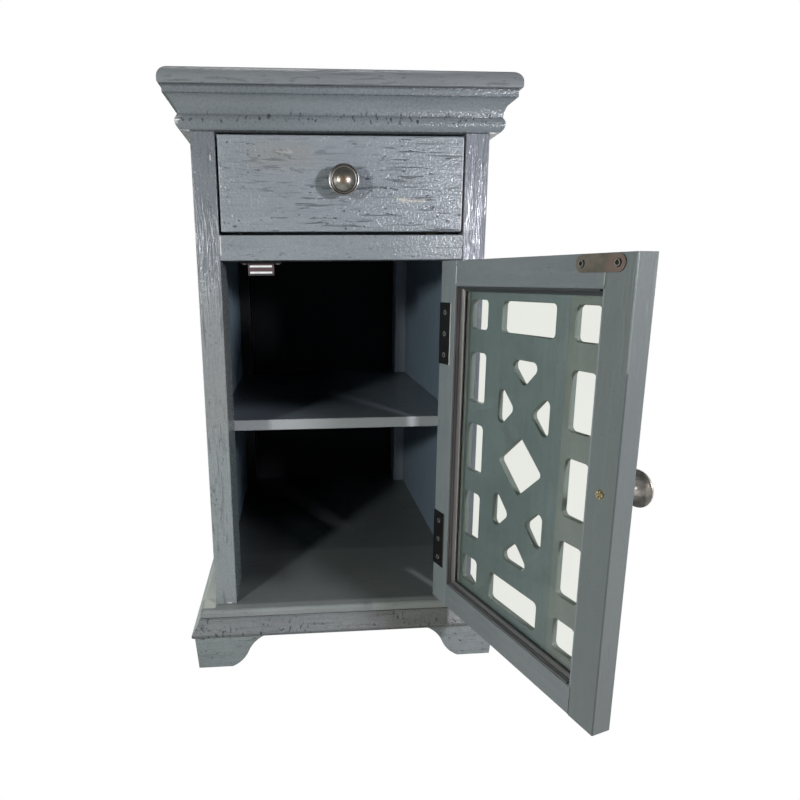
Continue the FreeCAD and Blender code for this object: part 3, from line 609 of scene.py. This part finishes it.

# %% [markdown]
# ## Base moulding and feet
# Shoes and brooms meet the base, so its paint is matt, pricked and mottled with a purplish brown, and the
# grooves get painted shade. Darker and lighter lengths along the front are painted shade and light, browner
# at the right end. They could be four finishes on a cut-up moulding, but it is one length of wood, so washes
# with soft ends do it. The left return and the right foot are painted paler as light.

# %% Base moulding, feet and side rails
# the left return is painted pale as light
left_return_painted_light = (1.8, 1.85, 1.72)
# painted light and shade along the front, browner at the right end
base_painted_light_and_shade = (
    ({"X": (-0.3, -0.08)}, 0.04, (0.135, 0.148, 0.152), 0.5),
    ({"X": (-0.005, 0.045)}, 0.015, (0.14, 0.14, 0.132), 0.5),
    ({"X": (0.04, 0.3)}, 0.01, (0.21, 0.212, 0.2), 0.8),
    ({"X": (0.118, 0.3)}, 0.004, (0.115, 0.125, 0.122), 0.6),
)
# painted shade in the grooves
base_groove_shade = (
    ({"Z": (0.0425, 0.0433)}, 0.0003, shade_and_grime, 0.45),
    ({"Z": (0.0588, 0.0594)}, 0.0003, shade_and_grime, 0.35),
)
# the right foot, in the door's shadow, is painted lighter as light
right_foot_painted_light = ({"X": (0.0, 0.3)}, 0.01, (0.27, 0.298, 0.303), 0.65)
dress(painted("paint_base", "X", ridges=0.3, lines=0.4, pits=1.0, sparkle=0.9, mottle=0.6, roughness=0.42,
              tint=(0.74, 0.74, 0.715), shift=0.41, nick="Z", pit_level=0.61,
              washes=base_painted_light_and_shade, patches=base_groove_shade), "base_moulding_front")
dress(painted("paint_feet", "X", ridges=0.25, lines=0.25, pits=0.9, sparkle=0.9, mottle=0.25,
              tint=(0.90, 0.92, 0.87), shift=0.43, washes=[right_foot_painted_light]),
      "foot_front_left", "foot_front_right")
dress(painted("paint_base_side", "Y", **side_board, tint=left_return_painted_light, shift=0.39), "base_moulding_left")
dress(painted("paint_sides", "Y", **side_board, tint=greenish, shift=0.37), "base_moulding_right",
      "foot_front_side_left", "foot_front_side_right", "foot_rear_side_left", "foot_rear_side_right",
      "side_rail_left", "side_rail_right")

# %% [markdown]
# ## The front rail
# The rail lies between drawer and door, and its paint is stippled like the crown's. At its left end the
# primer shows along the joint, and at its right end the joint is painted dark. Both are a millimetre or two
# wide, so they are patches, not geometry.

# %% Rail between drawer and door
rail_joints = (
    ({"X": (-0.127, -0.1246), "Z": (0.460, 0.4795)}, 0.0005, (0.75, 0.75, 0.74), 0.7),
    ({"X": (0.1248, 0.13)}, 0.0003, shade_and_grime, 0.9),
)
dress(painted("paint_rail", "X", ridges=0.2, lines=0.2, pits=0.5, sparkle=0.6, roughness=0.25, shift=0.47,
              patches=rail_joints), "front_rail")

# %% [markdown]
# ## The cabinet floor
# One board is the floor of the cabinet, and its edge shows as a ledge round the base. The ledge is painted
# pale as light at the left and on its right front, while the floor inside is a dark, even paint with painted
# shade that deepens towards the back and in the left corner. Light alone would leave the far left corner too
# bright in this plain studio, so the board itself is darker there.

# %% Ledge and floor
floor_top = (0.0675, 0.2)
# painted light on the left ledge and the right front edge; painted shade inside, deepest at the back and left
floor_painted_light_and_shade = (
    ({"X": (-0.5, -0.150), "Y": (-0.244, 0.5), "Z": floor_top}, 0.0008, (0.56, 0.59, 0.54), 0.8),
    ({"X": (-0.5, -0.150), "Y": (-0.222, 0.5), "Z": (0.062, 0.2)}, 0.002, (0.59, 0.63, 0.585), 0.95),
    ({"X": (0.031, 0.3), "Y": (-0.3, -0.2395)}, 0.003, (0.36, 0.375, 0.355), 0.5),
    ({"X": (-0.149, 0.5), "Y": (-0.238, -0.1), "Z": floor_top}, 0.003, (0.098, 0.105, 0.100), 0.8),
    ({"X": (-0.149, 0.5), "Y": (-0.1, 0.5), "Z": floor_top}, 0.003, (0.042, 0.046, 0.046), 0.8),
    ({"X": (-0.145, -0.06), "Y": (-0.185, 0.5)}, 0.03, (0.022, 0.025, 0.027), 0.7),
    ({"X": (-0.145, 0.0), "Y": (0.02, 0.5)}, 0.04, (0.006, 0.0065, 0.007), 0.85),
)
dress(painted("paint_floor", "X", ridges=0.1, lines=0.1, pits=0.5, tint=(0.96, 0.93, 0.86), shift=0.53,
              patches=floor_painted_light_and_shade), "base_board")

# %% [markdown]
# ## The shelf
# The shelf has a dark upper side, its front edge is painted pale as light, and its left rear is painted near
# black as shade. Things pushed in and out have left a brown scuff near the front. A patch with soft edges
# would look like a shadow, so the scuff gets ragged edges and is broken up along the fibres.

# %% Shelf and cleats
# a dark upper side, a front edge painted pale as light, and painted shade at the left rear
shelf_painted_light_and_shade = (
    ({"Z": (0.2706, 0.3)}, 0.0004, (0.138, 0.162, 0.192), 0.7),
    ({"Y": (-0.18, -0.1668), "Z": (0.2, 0.2712)}, 0.0004, (0.385, 0.405, 0.41), 0.8),
    ({"X": (-0.3, 0.03), "Y": (-0.085, 0.4)}, 0.05, (0.012, 0.013, 0.015), 0.85),
)
shelf_limits = {"X": (-0.04, 0.075), "Y": (-0.165, -0.135), "Z": (0.2706, 0.3)}
shelf_scuff = (shelf_limits, 0.008, (0.24, 0.21, 0.18), 0.5)
dress(painted("paint_shelf", "X", ridges=0.1, lines=0.15, pits=0.2, shift=0.59, patches=shelf_painted_light_and_shade,
              scuffs=[shelf_scuff]), "shelf", "shelf_cleat_left", "shelf_cleat_right")

# %% [markdown]
# ## The drawer front
# The drawer front shows the open grain best: dark broken strokes right across it, fewer at the left end, and
# fine glitter. Wear has left it yellowish at the upper left, with two cream streaks along the grain where the
# paint is gone. Streaks could be drawn as shapes, but scuffs follow the fibres by themselves. A pale line
# along the right-hand edge is a painted highlight.

# %% Drawer front
worn_cream = (0.62, 0.57, 0.47)
bare_cream = (0.80, 0.72, 0.58)
drawer_yellow = ({"X": (-0.095, -0.030), "Z": (0.545, 0.568)}, 0.012, (0.275, 0.270, 0.252), 0.5)
# a painted highlight along the right-hand edge
drawer_edge_highlight = ({"X": (0.1226, 0.2), "Z": (0.485, 0.573)}, 0.0003, primer_and_highlight_blue, 0.8)
drawer_streaks = (
    ({"X": (-0.071, -0.050), "Z": (0.5585, 0.5595)}, 0.0022, worn_cream, 0.75),
    ({"X": (0.055, 0.085), "Z": (0.5125, 0.5135)}, 0.0022, bare_cream, 1.0),
)
dress(painted("paint_drawer", "X", ridges=0.3, lines=0.82, pits=0.9, sparkle=0.9, roughness=0.23,
              tint=(1.08, 1.08, 1.10), limits={"lines": {"X": (-0.092, 0.2)}},
              washes=[drawer_yellow], patches=[drawer_edge_highlight], scuffs=drawer_streaks), "drawer_front")

# %% [markdown]
# ## The back panel
# Looking into the cabinet, the back is almost black: thin hardboard, stained dark inside and left brown where
# it faces the wall. Two thin boards could stand back to back, but it is one, so the depth of a point tells
# which side it belongs to. Faint upright streaks keep both sides from being flat.

# %% Dark stain and bare hardboard
streaks_per_metre = (60.0, 60.0, 6.0)
streak_detail = 3.0
board_brown = (0.085, 0.055, 0.035), (0.16, 0.11, 0.07)
stain_black = (0.005, 0.005, 0.008), (0.012, 0.012, 0.018)
inner_side = {"Y": (0.2, 0.224)}
side_softness = 0.0005
board_roughness, streak_roughness = 0.6, 0.2
streak_relief = 0.0002


def stained_board(name):
    """Hardboard that is stained near black on its inner side and left brown on the outer one."""
    finish = Finish(name)
    point = finish.place()
    streak = finish.noise(point, streaks_per_metre, streak_detail)
    brown = finish.mix(streak, *map(solid, board_brown))
    black = finish.mix(streak, *map(solid, stain_black))
    colour = finish.mix(finish.within(point, inner_side, side_softness), brown, black)
    return finish.principled({
        "Base Color": colour, "Roughness": board_roughness + streak * streak_roughness,
        "Normal": finish.bump(streak, streak_relief)})


dress(stained_board("stained_back"), "back_panel")

# %% [markdown]
# ## The door's frame
# The camera sees the inner side of the open door, which was sanded smooth before it was painted, so its marks
# are faint. The free stile is painted darker on its inner face, with painted shade on its edge and inner
# edge, and its arris is painted dark below mid-height. Pale lines where rail and stile meet are painted
# highlights.
# The lines could be cut as grooves, but they are thinner than a millimetre.

# %% Stiles and rails
sanded = {"ridges": 0.1, "lines": 0.1, "pits": 0.1, "sparkle": 0.1, "door": True}
sanded_frame = {**sanded, "ridges": 0.12}
inner_face = (-0.2175, -0.2)
joint_height = (0.4305, 0.4475)
# the free stile painted darker and greener inside, with painted shade on its edge and inner edge
stile_tone_and_shade = (
    ({"X": (-0.2, -0.09), "Y": inner_face}, 0.0003, (0.128, 0.152, 0.149), 0.65),
    ({"X": (-0.2, -0.1243), "Y": (-0.24, -0.2172)}, 0.0003, (0.113, 0.126, 0.118), 0.85),  # the free edge
    ({"X": (-0.2, -0.1238), "Y": (-0.2172, -0.2), "Z": (0.0, 0.37)}, 0.0003, shade_and_grime, 0.7),  # its arris
    ({"X": (-0.0973, -0.09), "Y": (-0.24, -0.2164)}, 0.0002, (0.075, 0.088, 0.085), 0.85),
)
# pale lines where rail and stile meet: painted highlights
joint_highlights = (
    ({"X": (0.0961, 0.0975), "Y": inner_face, "Z": joint_height}, 0.0002, (0.85, 0.85, 0.84), 0.9),
    ({"X": (-0.0975, -0.0958), "Y": inner_face, "Z": joint_height}, 0.0002, (0.4, 0.42, 0.41), 0.7),
)
dress(painted("paint_stiles", "Z", **sanded_frame, tint=(0.83, 0.845, 0.82), shift=0.07, patches=stile_tone_and_shade),
      "door_stile_hinge", "door_stile_free")
dress(painted("paint_rails", "X", **sanded_frame, tint=(0.79, 0.795, 0.78), shift=0.11, patches=joint_highlights),
      "door_rail_top", "door_rail_bottom")

# %% [markdown]
# ## The fret
# The fret is one thin panel with its windows sawn out, seen through the glass. It looks bluer than the frame.
# A strip along the free side and a strip beside the hinge-side bead are painted lighter as light and
# reflection, and the sawn edges of the windows get a greener painted shade. The edges could be picked out
# face by face, but they lie at their own depth in the door, and limits on Y find them.

# %% Pierced panel
fret_painted_light = (
    # painted light and reflection along the free side and beside the hinge-side bead; painted shade on sawn
    # edges
    ({"X": (-0.2, -0.052), "Y": (-0.2290, -0.22)}, 0.0004, (0.278, 0.292, 0.284), 0.6),
    ({"X": (0.0895, 0.12), "Y": (-0.23, -0.228)}, 0.001, (0.6, 0.62, 0.6), 0.8),
    ({"Y": (-0.2341, -0.2288)}, 0.0001, (0.20, 0.225, 0.205), 0.85),  # the sawn edges
)
dress(painted("paint_fret", "Z", **sanded, tint=(0.77, 0.88, 0.87), shift=0.13, patches=fret_painted_light),
      "fret_panel")

# %% [markdown]
# ## The glazing beads
# Narrow stepped beads hold the glass. Old brown dirt sits on them; the black lines in the steps, along the
# stile and over the whole top bead are painted shade, and a thin glint and a pale line on a crest are painted
# highlights. A single brown would lose the steps at this size, so every step gets its own line, by its depth
# in the door on the upright beads and by its height too on the level ones.

# %% Upright and level beads
bead_brown = (0.14, 0.118, 0.118)
bead_glint = (0.175, 0.165, 0.16)
# a pale line: a painted highlight on a crest
bead_highlight = (0.6, 0.58, 0.55)
inner_beads = (0.0, 0.0953)
lower_bead = (0.103, 0.3)
first_step, second_step = (-0.2180, -0.2169), (-0.2214, -0.2203)
# painted shade in the steps and along the stile; a painted glint and a painted highlight on the crest
upright_lines = (
    ({"X": (0.0, 0.2)}, 0.0003, bead_brown, 0.8),
    ({"X": (0.0952, 0.0964)}, 0.0002, bead_brown, 1.0),
    ({"X": (0.0964, 0.0975)}, 0.0002, shade_and_grime, 0.9),
    ({"Y": first_step, "X": inner_beads}, 0.0002, shade_and_grime, 0.8),
    ({"Y": second_step, "X": inner_beads}, 0.0002, shade_and_grime, 0.85),
    ({"Y": (-0.2238, -0.2226), "X": inner_beads}, 0.0002, bead_glint, 0.8),
    ({"Y": (-0.2244, -0.2239), "X": inner_beads}, 0.0001, bead_highlight, 0.8),
)
# the top bead painted near black as shade, and painted shade in the steps
level_lines = (
    ({"Z": (0.0, 0.3)}, 0.0003, (0.125, 0.122, 0.118), 0.85),
    ({"Z": (0.3, 0.6)}, 0.0003, shade_and_grime, 0.93),
    ({"Z": (0.1008, 0.1019)}, 0.0002, shade_and_grime, 0.9),
    ({"Y": first_step, "Z": lower_bead}, 0.0002, shade_and_grime, 0.85),
    ({"Y": second_step, "Z": lower_bead}, 0.0002, shade_and_grime, 0.85),
    ({"Y": (-0.2252, -0.2236), "Z": lower_bead}, 0.0002, shade_and_grime, 0.85),
)
dress(painted("paint_beads_upright", "Z", **sanded, shift=0.19, patches=upright_lines),
      "glazing_beads_upright")
dress(painted("paint_beads_level", "X", **sanded, shift=0.29, patches=level_lines), "glazing_beads_level")

# %% [markdown]
# ## Bare drawer wood
# Drawer sides are seldom painted: paint would rub off on the runners. They are pale secondary wood, planed
# and left bare, with fine darker lines along each board. A wood photograph would show the same knot twice, so
# the lines are stretched noise again. The lower edges and the underside get painted shade.

# %% The bare finish
pale_wood, dark_wood = (0.46, 0.33, 0.20), (0.30, 0.20, 0.11)
fine_lines, broad_lines = 300.0, 30.0
line_detail, line_sharpness = 3.0, 0.6
line_share, broad_share = 0.6, 0.5
wood_steps = (0.4, 0.75)
shade_softness = 0.0005
wood_roughness, wood_roughness_range = 0.5, 0.2
wood_relief = 0.0002


def bare_wood(name, grain, shaded):
    """Planed wood with fine lines along its grain, and painted shade within some limits."""
    finish = Finish(name)
    point = finish.place()
    lines = finish.noise(point, along(grain, fine_lines), line_detail, line_sharpness)
    broad = finish.noise(point, along(grain, broad_lines))
    tone = finish.step(lines * line_share + broad * broad_share, *wood_steps)
    colour = finish.mix(tone, solid(dark_wood), solid(pale_wood))
    colour = finish.patched(colour, point, [(shaded, shade_softness, shade_and_grime, 1.0)])
    return finish.principled({
        "Base Color": colour, "Roughness": wood_roughness + lines * wood_roughness_range,
        "Normal": finish.bump(lines, wood_relief)})


# painted shade on the lower edges of sides and runners and on the underside of the bottom
dress(bare_wood("drawer_wood_long", "Y", {"Y": (-0.3, 0.0), "Z": (0.3, 0.4842)}),
      "drawer_side_left", "drawer_side_right", "drawer_runner_left", "drawer_runner_right")
dress(bare_wood("drawer_wood_across", "X", {"Z": (0.3, 0.489)}), "drawer_back", "drawer_bottom")

# %% [markdown]
# ## Metals
# Old hardware is never one colour: patina and wear make it cloudy. A metal here goes from a dark to a light
# colour with a noise, and the same noise makes it rougher and a little uneven. Blackened and bronzed metal is
# half paint, half metal, so it is only partly metallic. Patches work as they do on the paint.

# %% A cloudy metal
cloud_detail, cloud_sharpness = 3.0, 0.6
cloud_steps = (0.35, 0.65)
cloud_roughness = 0.2
metal_relief = 0.0001


def patina(finish, point, per_metre):
    """The clouds on a metal."""
    return finish.noise(point, even(per_metre), cloud_detail, cloud_sharpness)


def metal(name, dark, light, roughness, per_metre, metallic=1.0, door=False, patches=()):
    """A metal that varies between a dark and a light colour, with patches as on the paint."""
    finish = Finish(name)
    point = finish.door_place() if door else finish.place()
    cloud = patina(finish, point, per_metre)
    colour = finish.mix(finish.step(cloud, *cloud_steps), solid(dark), solid(light))
    colour = finish.patched(colour, point, patches)
    return finish.principled({
        "Base Color": colour, "Metallic": metallic,
        "Roughness": roughness + (cloud - middle_value) * cloud_roughness,
        "Normal": finish.bump(cloud, metal_relief)})


print("metals: clouds between", cloud_steps, "and a relief of", metal_relief, "m")

# %% [markdown]
# ## Hinges, strike and catch poles
# The hinge leaves are blackened; the free edge of the upper one is painted bright steel as a highlight, and
# that of the lower one a dim grey. The strike at the top of the door is bronzed and reddish towards its free
# end. The catch's two pole bars are bright. Each could be one colour at this size, but the bright edge and
# the red end show even in a small picture.

# %% Leaves, pins, strike and poles
blackened = (0.012, 0.012, 0.011), (0.03, 0.03, 0.028)
leaf_free_edge = (0.1, 0.1047)
# a painted highlight on the upper leaf's free edge; the lower leaf's edge is dim grey
leaf_edge_highlight = (
    ({"X": leaf_free_edge, "Z": (0.3, 0.6)}, 0.0002, (0.9, 0.88, 0.82), 1.0),
    ({"X": leaf_free_edge, "Z": (0.0, 0.3)}, 0.0002, (0.11, 0.105, 0.1), 1.0),
)
strike_red = ({"X": (-0.2, -0.0985)}, 0.004, (0.19, 0.135, 0.115), 0.8)
dress(metal("blackened_hinge", (0.005, 0.005, 0.0045), (0.013, 0.013, 0.012), 0.45, 400.0, 0.3, door=True,
            patches=leaf_edge_highlight), "hinge_door_leaves")
dress(metal("blackened_frame_leaf", *blackened, 0.45, 400.0, 0.3), "hinge_frame_leaves", "hinge_pins")
dress(metal("bronze_strike", (0.12, 0.11, 0.088), (0.17, 0.152, 0.126), 0.42, 90.0, 0.35, door=True,
            patches=[strike_red]), "strike_plate")
dress(metal("bright_pole", (0.75, 0.75, 0.75), (0.9, 0.9, 0.9), 0.35, 300.0, 0.1), "catch_poles")

# %% [markdown]
# ## Screws
# The screws in the open door catch the light as small rings: the driver and many hands have rubbed their
# heads round the recess. A ring could be turned on each head, but it is half a millimetre wide, so it is
# drawn by the distance from each screw's middle. The other screws are plain brass, black or bright.

# %% Rubbed and plain screws
ring_inside, ring_outside, ring_softness = 0.0018, 0.0025, 0.0002
screw_clouds = 600.0
head_metallic, head_roughness = 0.2, 0.35
hinge_screw_across = 0.1135
hinge_screw_levels = (0.1273, 0.1493, 0.1713, 0.3571, 0.3791, 0.4011)
hinge_screws = [(hinge_screw_across, 0.0, level) for level in hinge_screw_levels]
strike_screws = [(-0.0742, 0.0, 0.446), (-0.1087, 0.0, 0.446)]


def ringed_screws(name, centres, bright):
    """Blackened screw heads in the door, rubbed bright in a ring round their middles."""
    finish = Finish(name)
    point = finish.door_place()
    cloud = patina(finish, point, screw_clouds)
    colour = finish.mix(cloud, *map(solid, blackened))
    for centre in centres:
        ring = finish.between(finish.radius(point, centre), ring_inside, ring_outside, ring_softness)
        colour = finish.mix(ring, colour, solid(bright))
    return finish.principled({
        "Base Color": colour, "Metallic": head_metallic,
        "Roughness": head_roughness + (cloud - middle_value) * cloud_roughness})


dress(ringed_screws("rubbed_hinge_screw", hinge_screws, (0.30, 0.30, 0.28)), "hinge_door_screws")
dress(ringed_screws("rubbed_strike_screw", strike_screws, (0.27, 0.25, 0.215)), "strike_screws")
dress(metal("blackened_screw", (0.02, 0.02, 0.019), (0.11, 0.11, 0.105), 0.35, screw_clouds, 0.6),
      "hinge_frame_screws")
dress(metal("brass_screw", (0.08, 0.055, 0.02), (0.95, 0.78, 0.45), 0.3, 700.0, 0.7),
      "drawer_knob_screw", "door_knob_screw")
dress(metal("bright_screw", (0.5, 0.5, 0.5), (0.66, 0.66, 0.66), 0.35, 300.0), "catch_screws")

# %% [markdown]
# ## The knobs
# The knobs are turned and patinated: two fine grooves stay dark, the ring between them and the rim are rubbed
# pale and fade above and below the middle as a painted highlight of the two side lamps, and the middle of the
# dome turns a warm brown. All of that lies in circles round the axis of the lathe, so the distance from the
# axis gives the colour and the height gives the fading. The door's knob is seen from behind, where only the
# cloudy patina shows, so it gets the plain metal.

# %% Drawer knob and door knob
knob_axis = (0.0, 0.0, 0.5311)
knob_dark, knob_light = (0.19, 0.183, 0.165), (0.31, 0.295, 0.265)
groove_dark = (0.018, 0.018, 0.016)
rubbed_and_highlight_bright = (0.80, 0.79, 0.76)
dome_brown = (0.42, 0.29, 0.19)
knob_clouds = 160.0
inner_groove, bright_ring, outer_groove = (0.0107, 0.0117), (0.0118, 0.0127), (0.0129, 0.0139)
circle_softness = 0.0003
rim_steps, dome_steps = (0.0139, 0.0145), (0.001, 0.007)
# the pale ring and rim fade above and below the middle: a painted highlight of the two side lamps
highlight_steps, highlight_loss = (0.002, 0.010), 0.9
inner_dirt, outer_dirt, dome_warmth = 0.85, 0.8, 0.75
knob_metallic, ring_dullness = 0.8, 0.6
knob_roughness, knob_roughness_range = 0.33, 0.1
knob_relief = 0.00004


def turned_knob(name):
    """Patinated metal whose colour goes by the distance from the axis on which the knob was turned."""
    finish = Finish(name)
    point = finish.place()
    radius = finish.radius(point, knob_axis)
    cloud = patina(finish, point, knob_clouds)
    off_level = finish.axis(point, "Z").apart(knob_axis[2])
    lamp_side_highlight = 1.0 - finish.step(off_level, *highlight_steps) * highlight_loss
    ring = finish.between(radius, *bright_ring, circle_softness) * lamp_side_highlight
    bands = (
        (finish.between(radius, *inner_groove, circle_softness) * inner_dirt, groove_dark),
        (ring, rubbed_and_highlight_bright),
        (finish.between(radius, *outer_groove, circle_softness) * outer_dirt, groove_dark),
        (finish.step(radius, *rim_steps) * lamp_side_highlight, rubbed_and_highlight_bright),
        ((1.0 - finish.step(radius, *dome_steps)) * dome_warmth, dome_brown),
    )
    colour = finish.mix(finish.step(cloud, *cloud_steps), solid(knob_dark), solid(knob_light))
    for share, band in bands:
        colour = finish.mix(share, colour, solid(band))
    return finish.principled({
        "Base Color": colour, "Metallic": knob_metallic - ring * ring_dullness,
        "Roughness": knob_roughness + (cloud - middle_value) * knob_roughness_range,
        "Normal": finish.bump(cloud, knob_relief)})


dress(turned_knob("patinated_knob"), "drawer_knob")
dress(metal("patinated_door_knob", (0.30, 0.28, 0.245), (0.50, 0.47, 0.42), 0.36, knob_clouds, 0.6,
            door=True), "door_knob")

# %% [markdown]
# ## The catch housing
# The magnetic catch under the rail has a housing of red-brown plastic, moulded in one piece with a flange.
# Flange and lower lip lie in shadow and look almost black, so they get painted shade. A darker second
# material would need the housing cut in two, so its height decides.

# %% Moulded plastic
plastic_dark, plastic_light = (0.065, 0.036, 0.041), (0.11, 0.066, 0.072)
plastic_grain = 500.0
flange_steps, lip_steps = (0.4517, 0.4522), (0.4412, 0.4417)
lip_shade_strength = 0.8
plastic_roughness, plastic_relief = 0.45, 0.00005


def moulded_plastic(name):
    """Red-brown plastic, with painted shade on its flange and on its lower lip."""
    finish = Finish(name)
    point = finish.place()
    cloud = finish.noise(point, even(plastic_grain))
    level = finish.axis(point, "Z")
    # painted shade on the flange and the lower lip
    painted_shade_share = finish.step(level, *flange_steps) + (1.0 - finish.step(level, *lip_steps))
    colour = finish.mix(cloud, solid(plastic_dark), solid(plastic_light))
    colour = finish.mix(painted_shade_share * lip_shade_strength, colour, solid(shade_and_grime))
    return finish.principled({
        "Base Color": colour, "Roughness": plastic_roughness, "Normal": finish.bump(cloud, plastic_relief)})


dress(moulded_plastic("catch_plastic"), "catch_housing")

# %% [markdown]
# ## Window glass
# A thin pane of clear glass stands behind the fret. Solid glass that bends light would need many bounces and
# would still look the same, because the pane is thin and flat. So the light goes straight through with a
# faint green tint, and a mirror is mixed in, the more the flatter one looks along the pane. Only the near
# side of the pane mirrors, or every reflection would show twice.

# %% Clear pane
glass_tint = (0.921, 0.931, 0.90)
glass_index = 1.5
smears_per_metre = 12.0
smear_roughness = 0.02


def window_glass(name):
    """Clear glass with a faint green tint and a smeared shine."""
    finish = Finish(name)
    smear = finish.noise(finish.place(), even(smears_per_metre))
    through = finish.add("ShaderNodeBsdfTransparent", inputs={"Color": solid(glass_tint)})
    mirror = finish.add("ShaderNodeBsdfGlossy", inputs={"Roughness": smear * smear_roughness})
    far_side = finish.add("ShaderNodeNewGeometry", output="Backfacing")
    share = finish.add("ShaderNodeFresnel", inputs={"IOR": glass_index}) * (1.0 - far_side)
    return finish.close(finish.add("ShaderNodeMixShader", inputs={0: share, 1: through, 2: mirror}))


dress(window_glass("window_glass"), "glass_pane")

# %% [markdown]
# ## Pieces dressed
# A finish must not change the size of the table; these only fill material slots. The last cell counts the
# pieces that got a finish.

# %% Close
print("dressed", len(dressed), "of", len(nodes), "pieces")
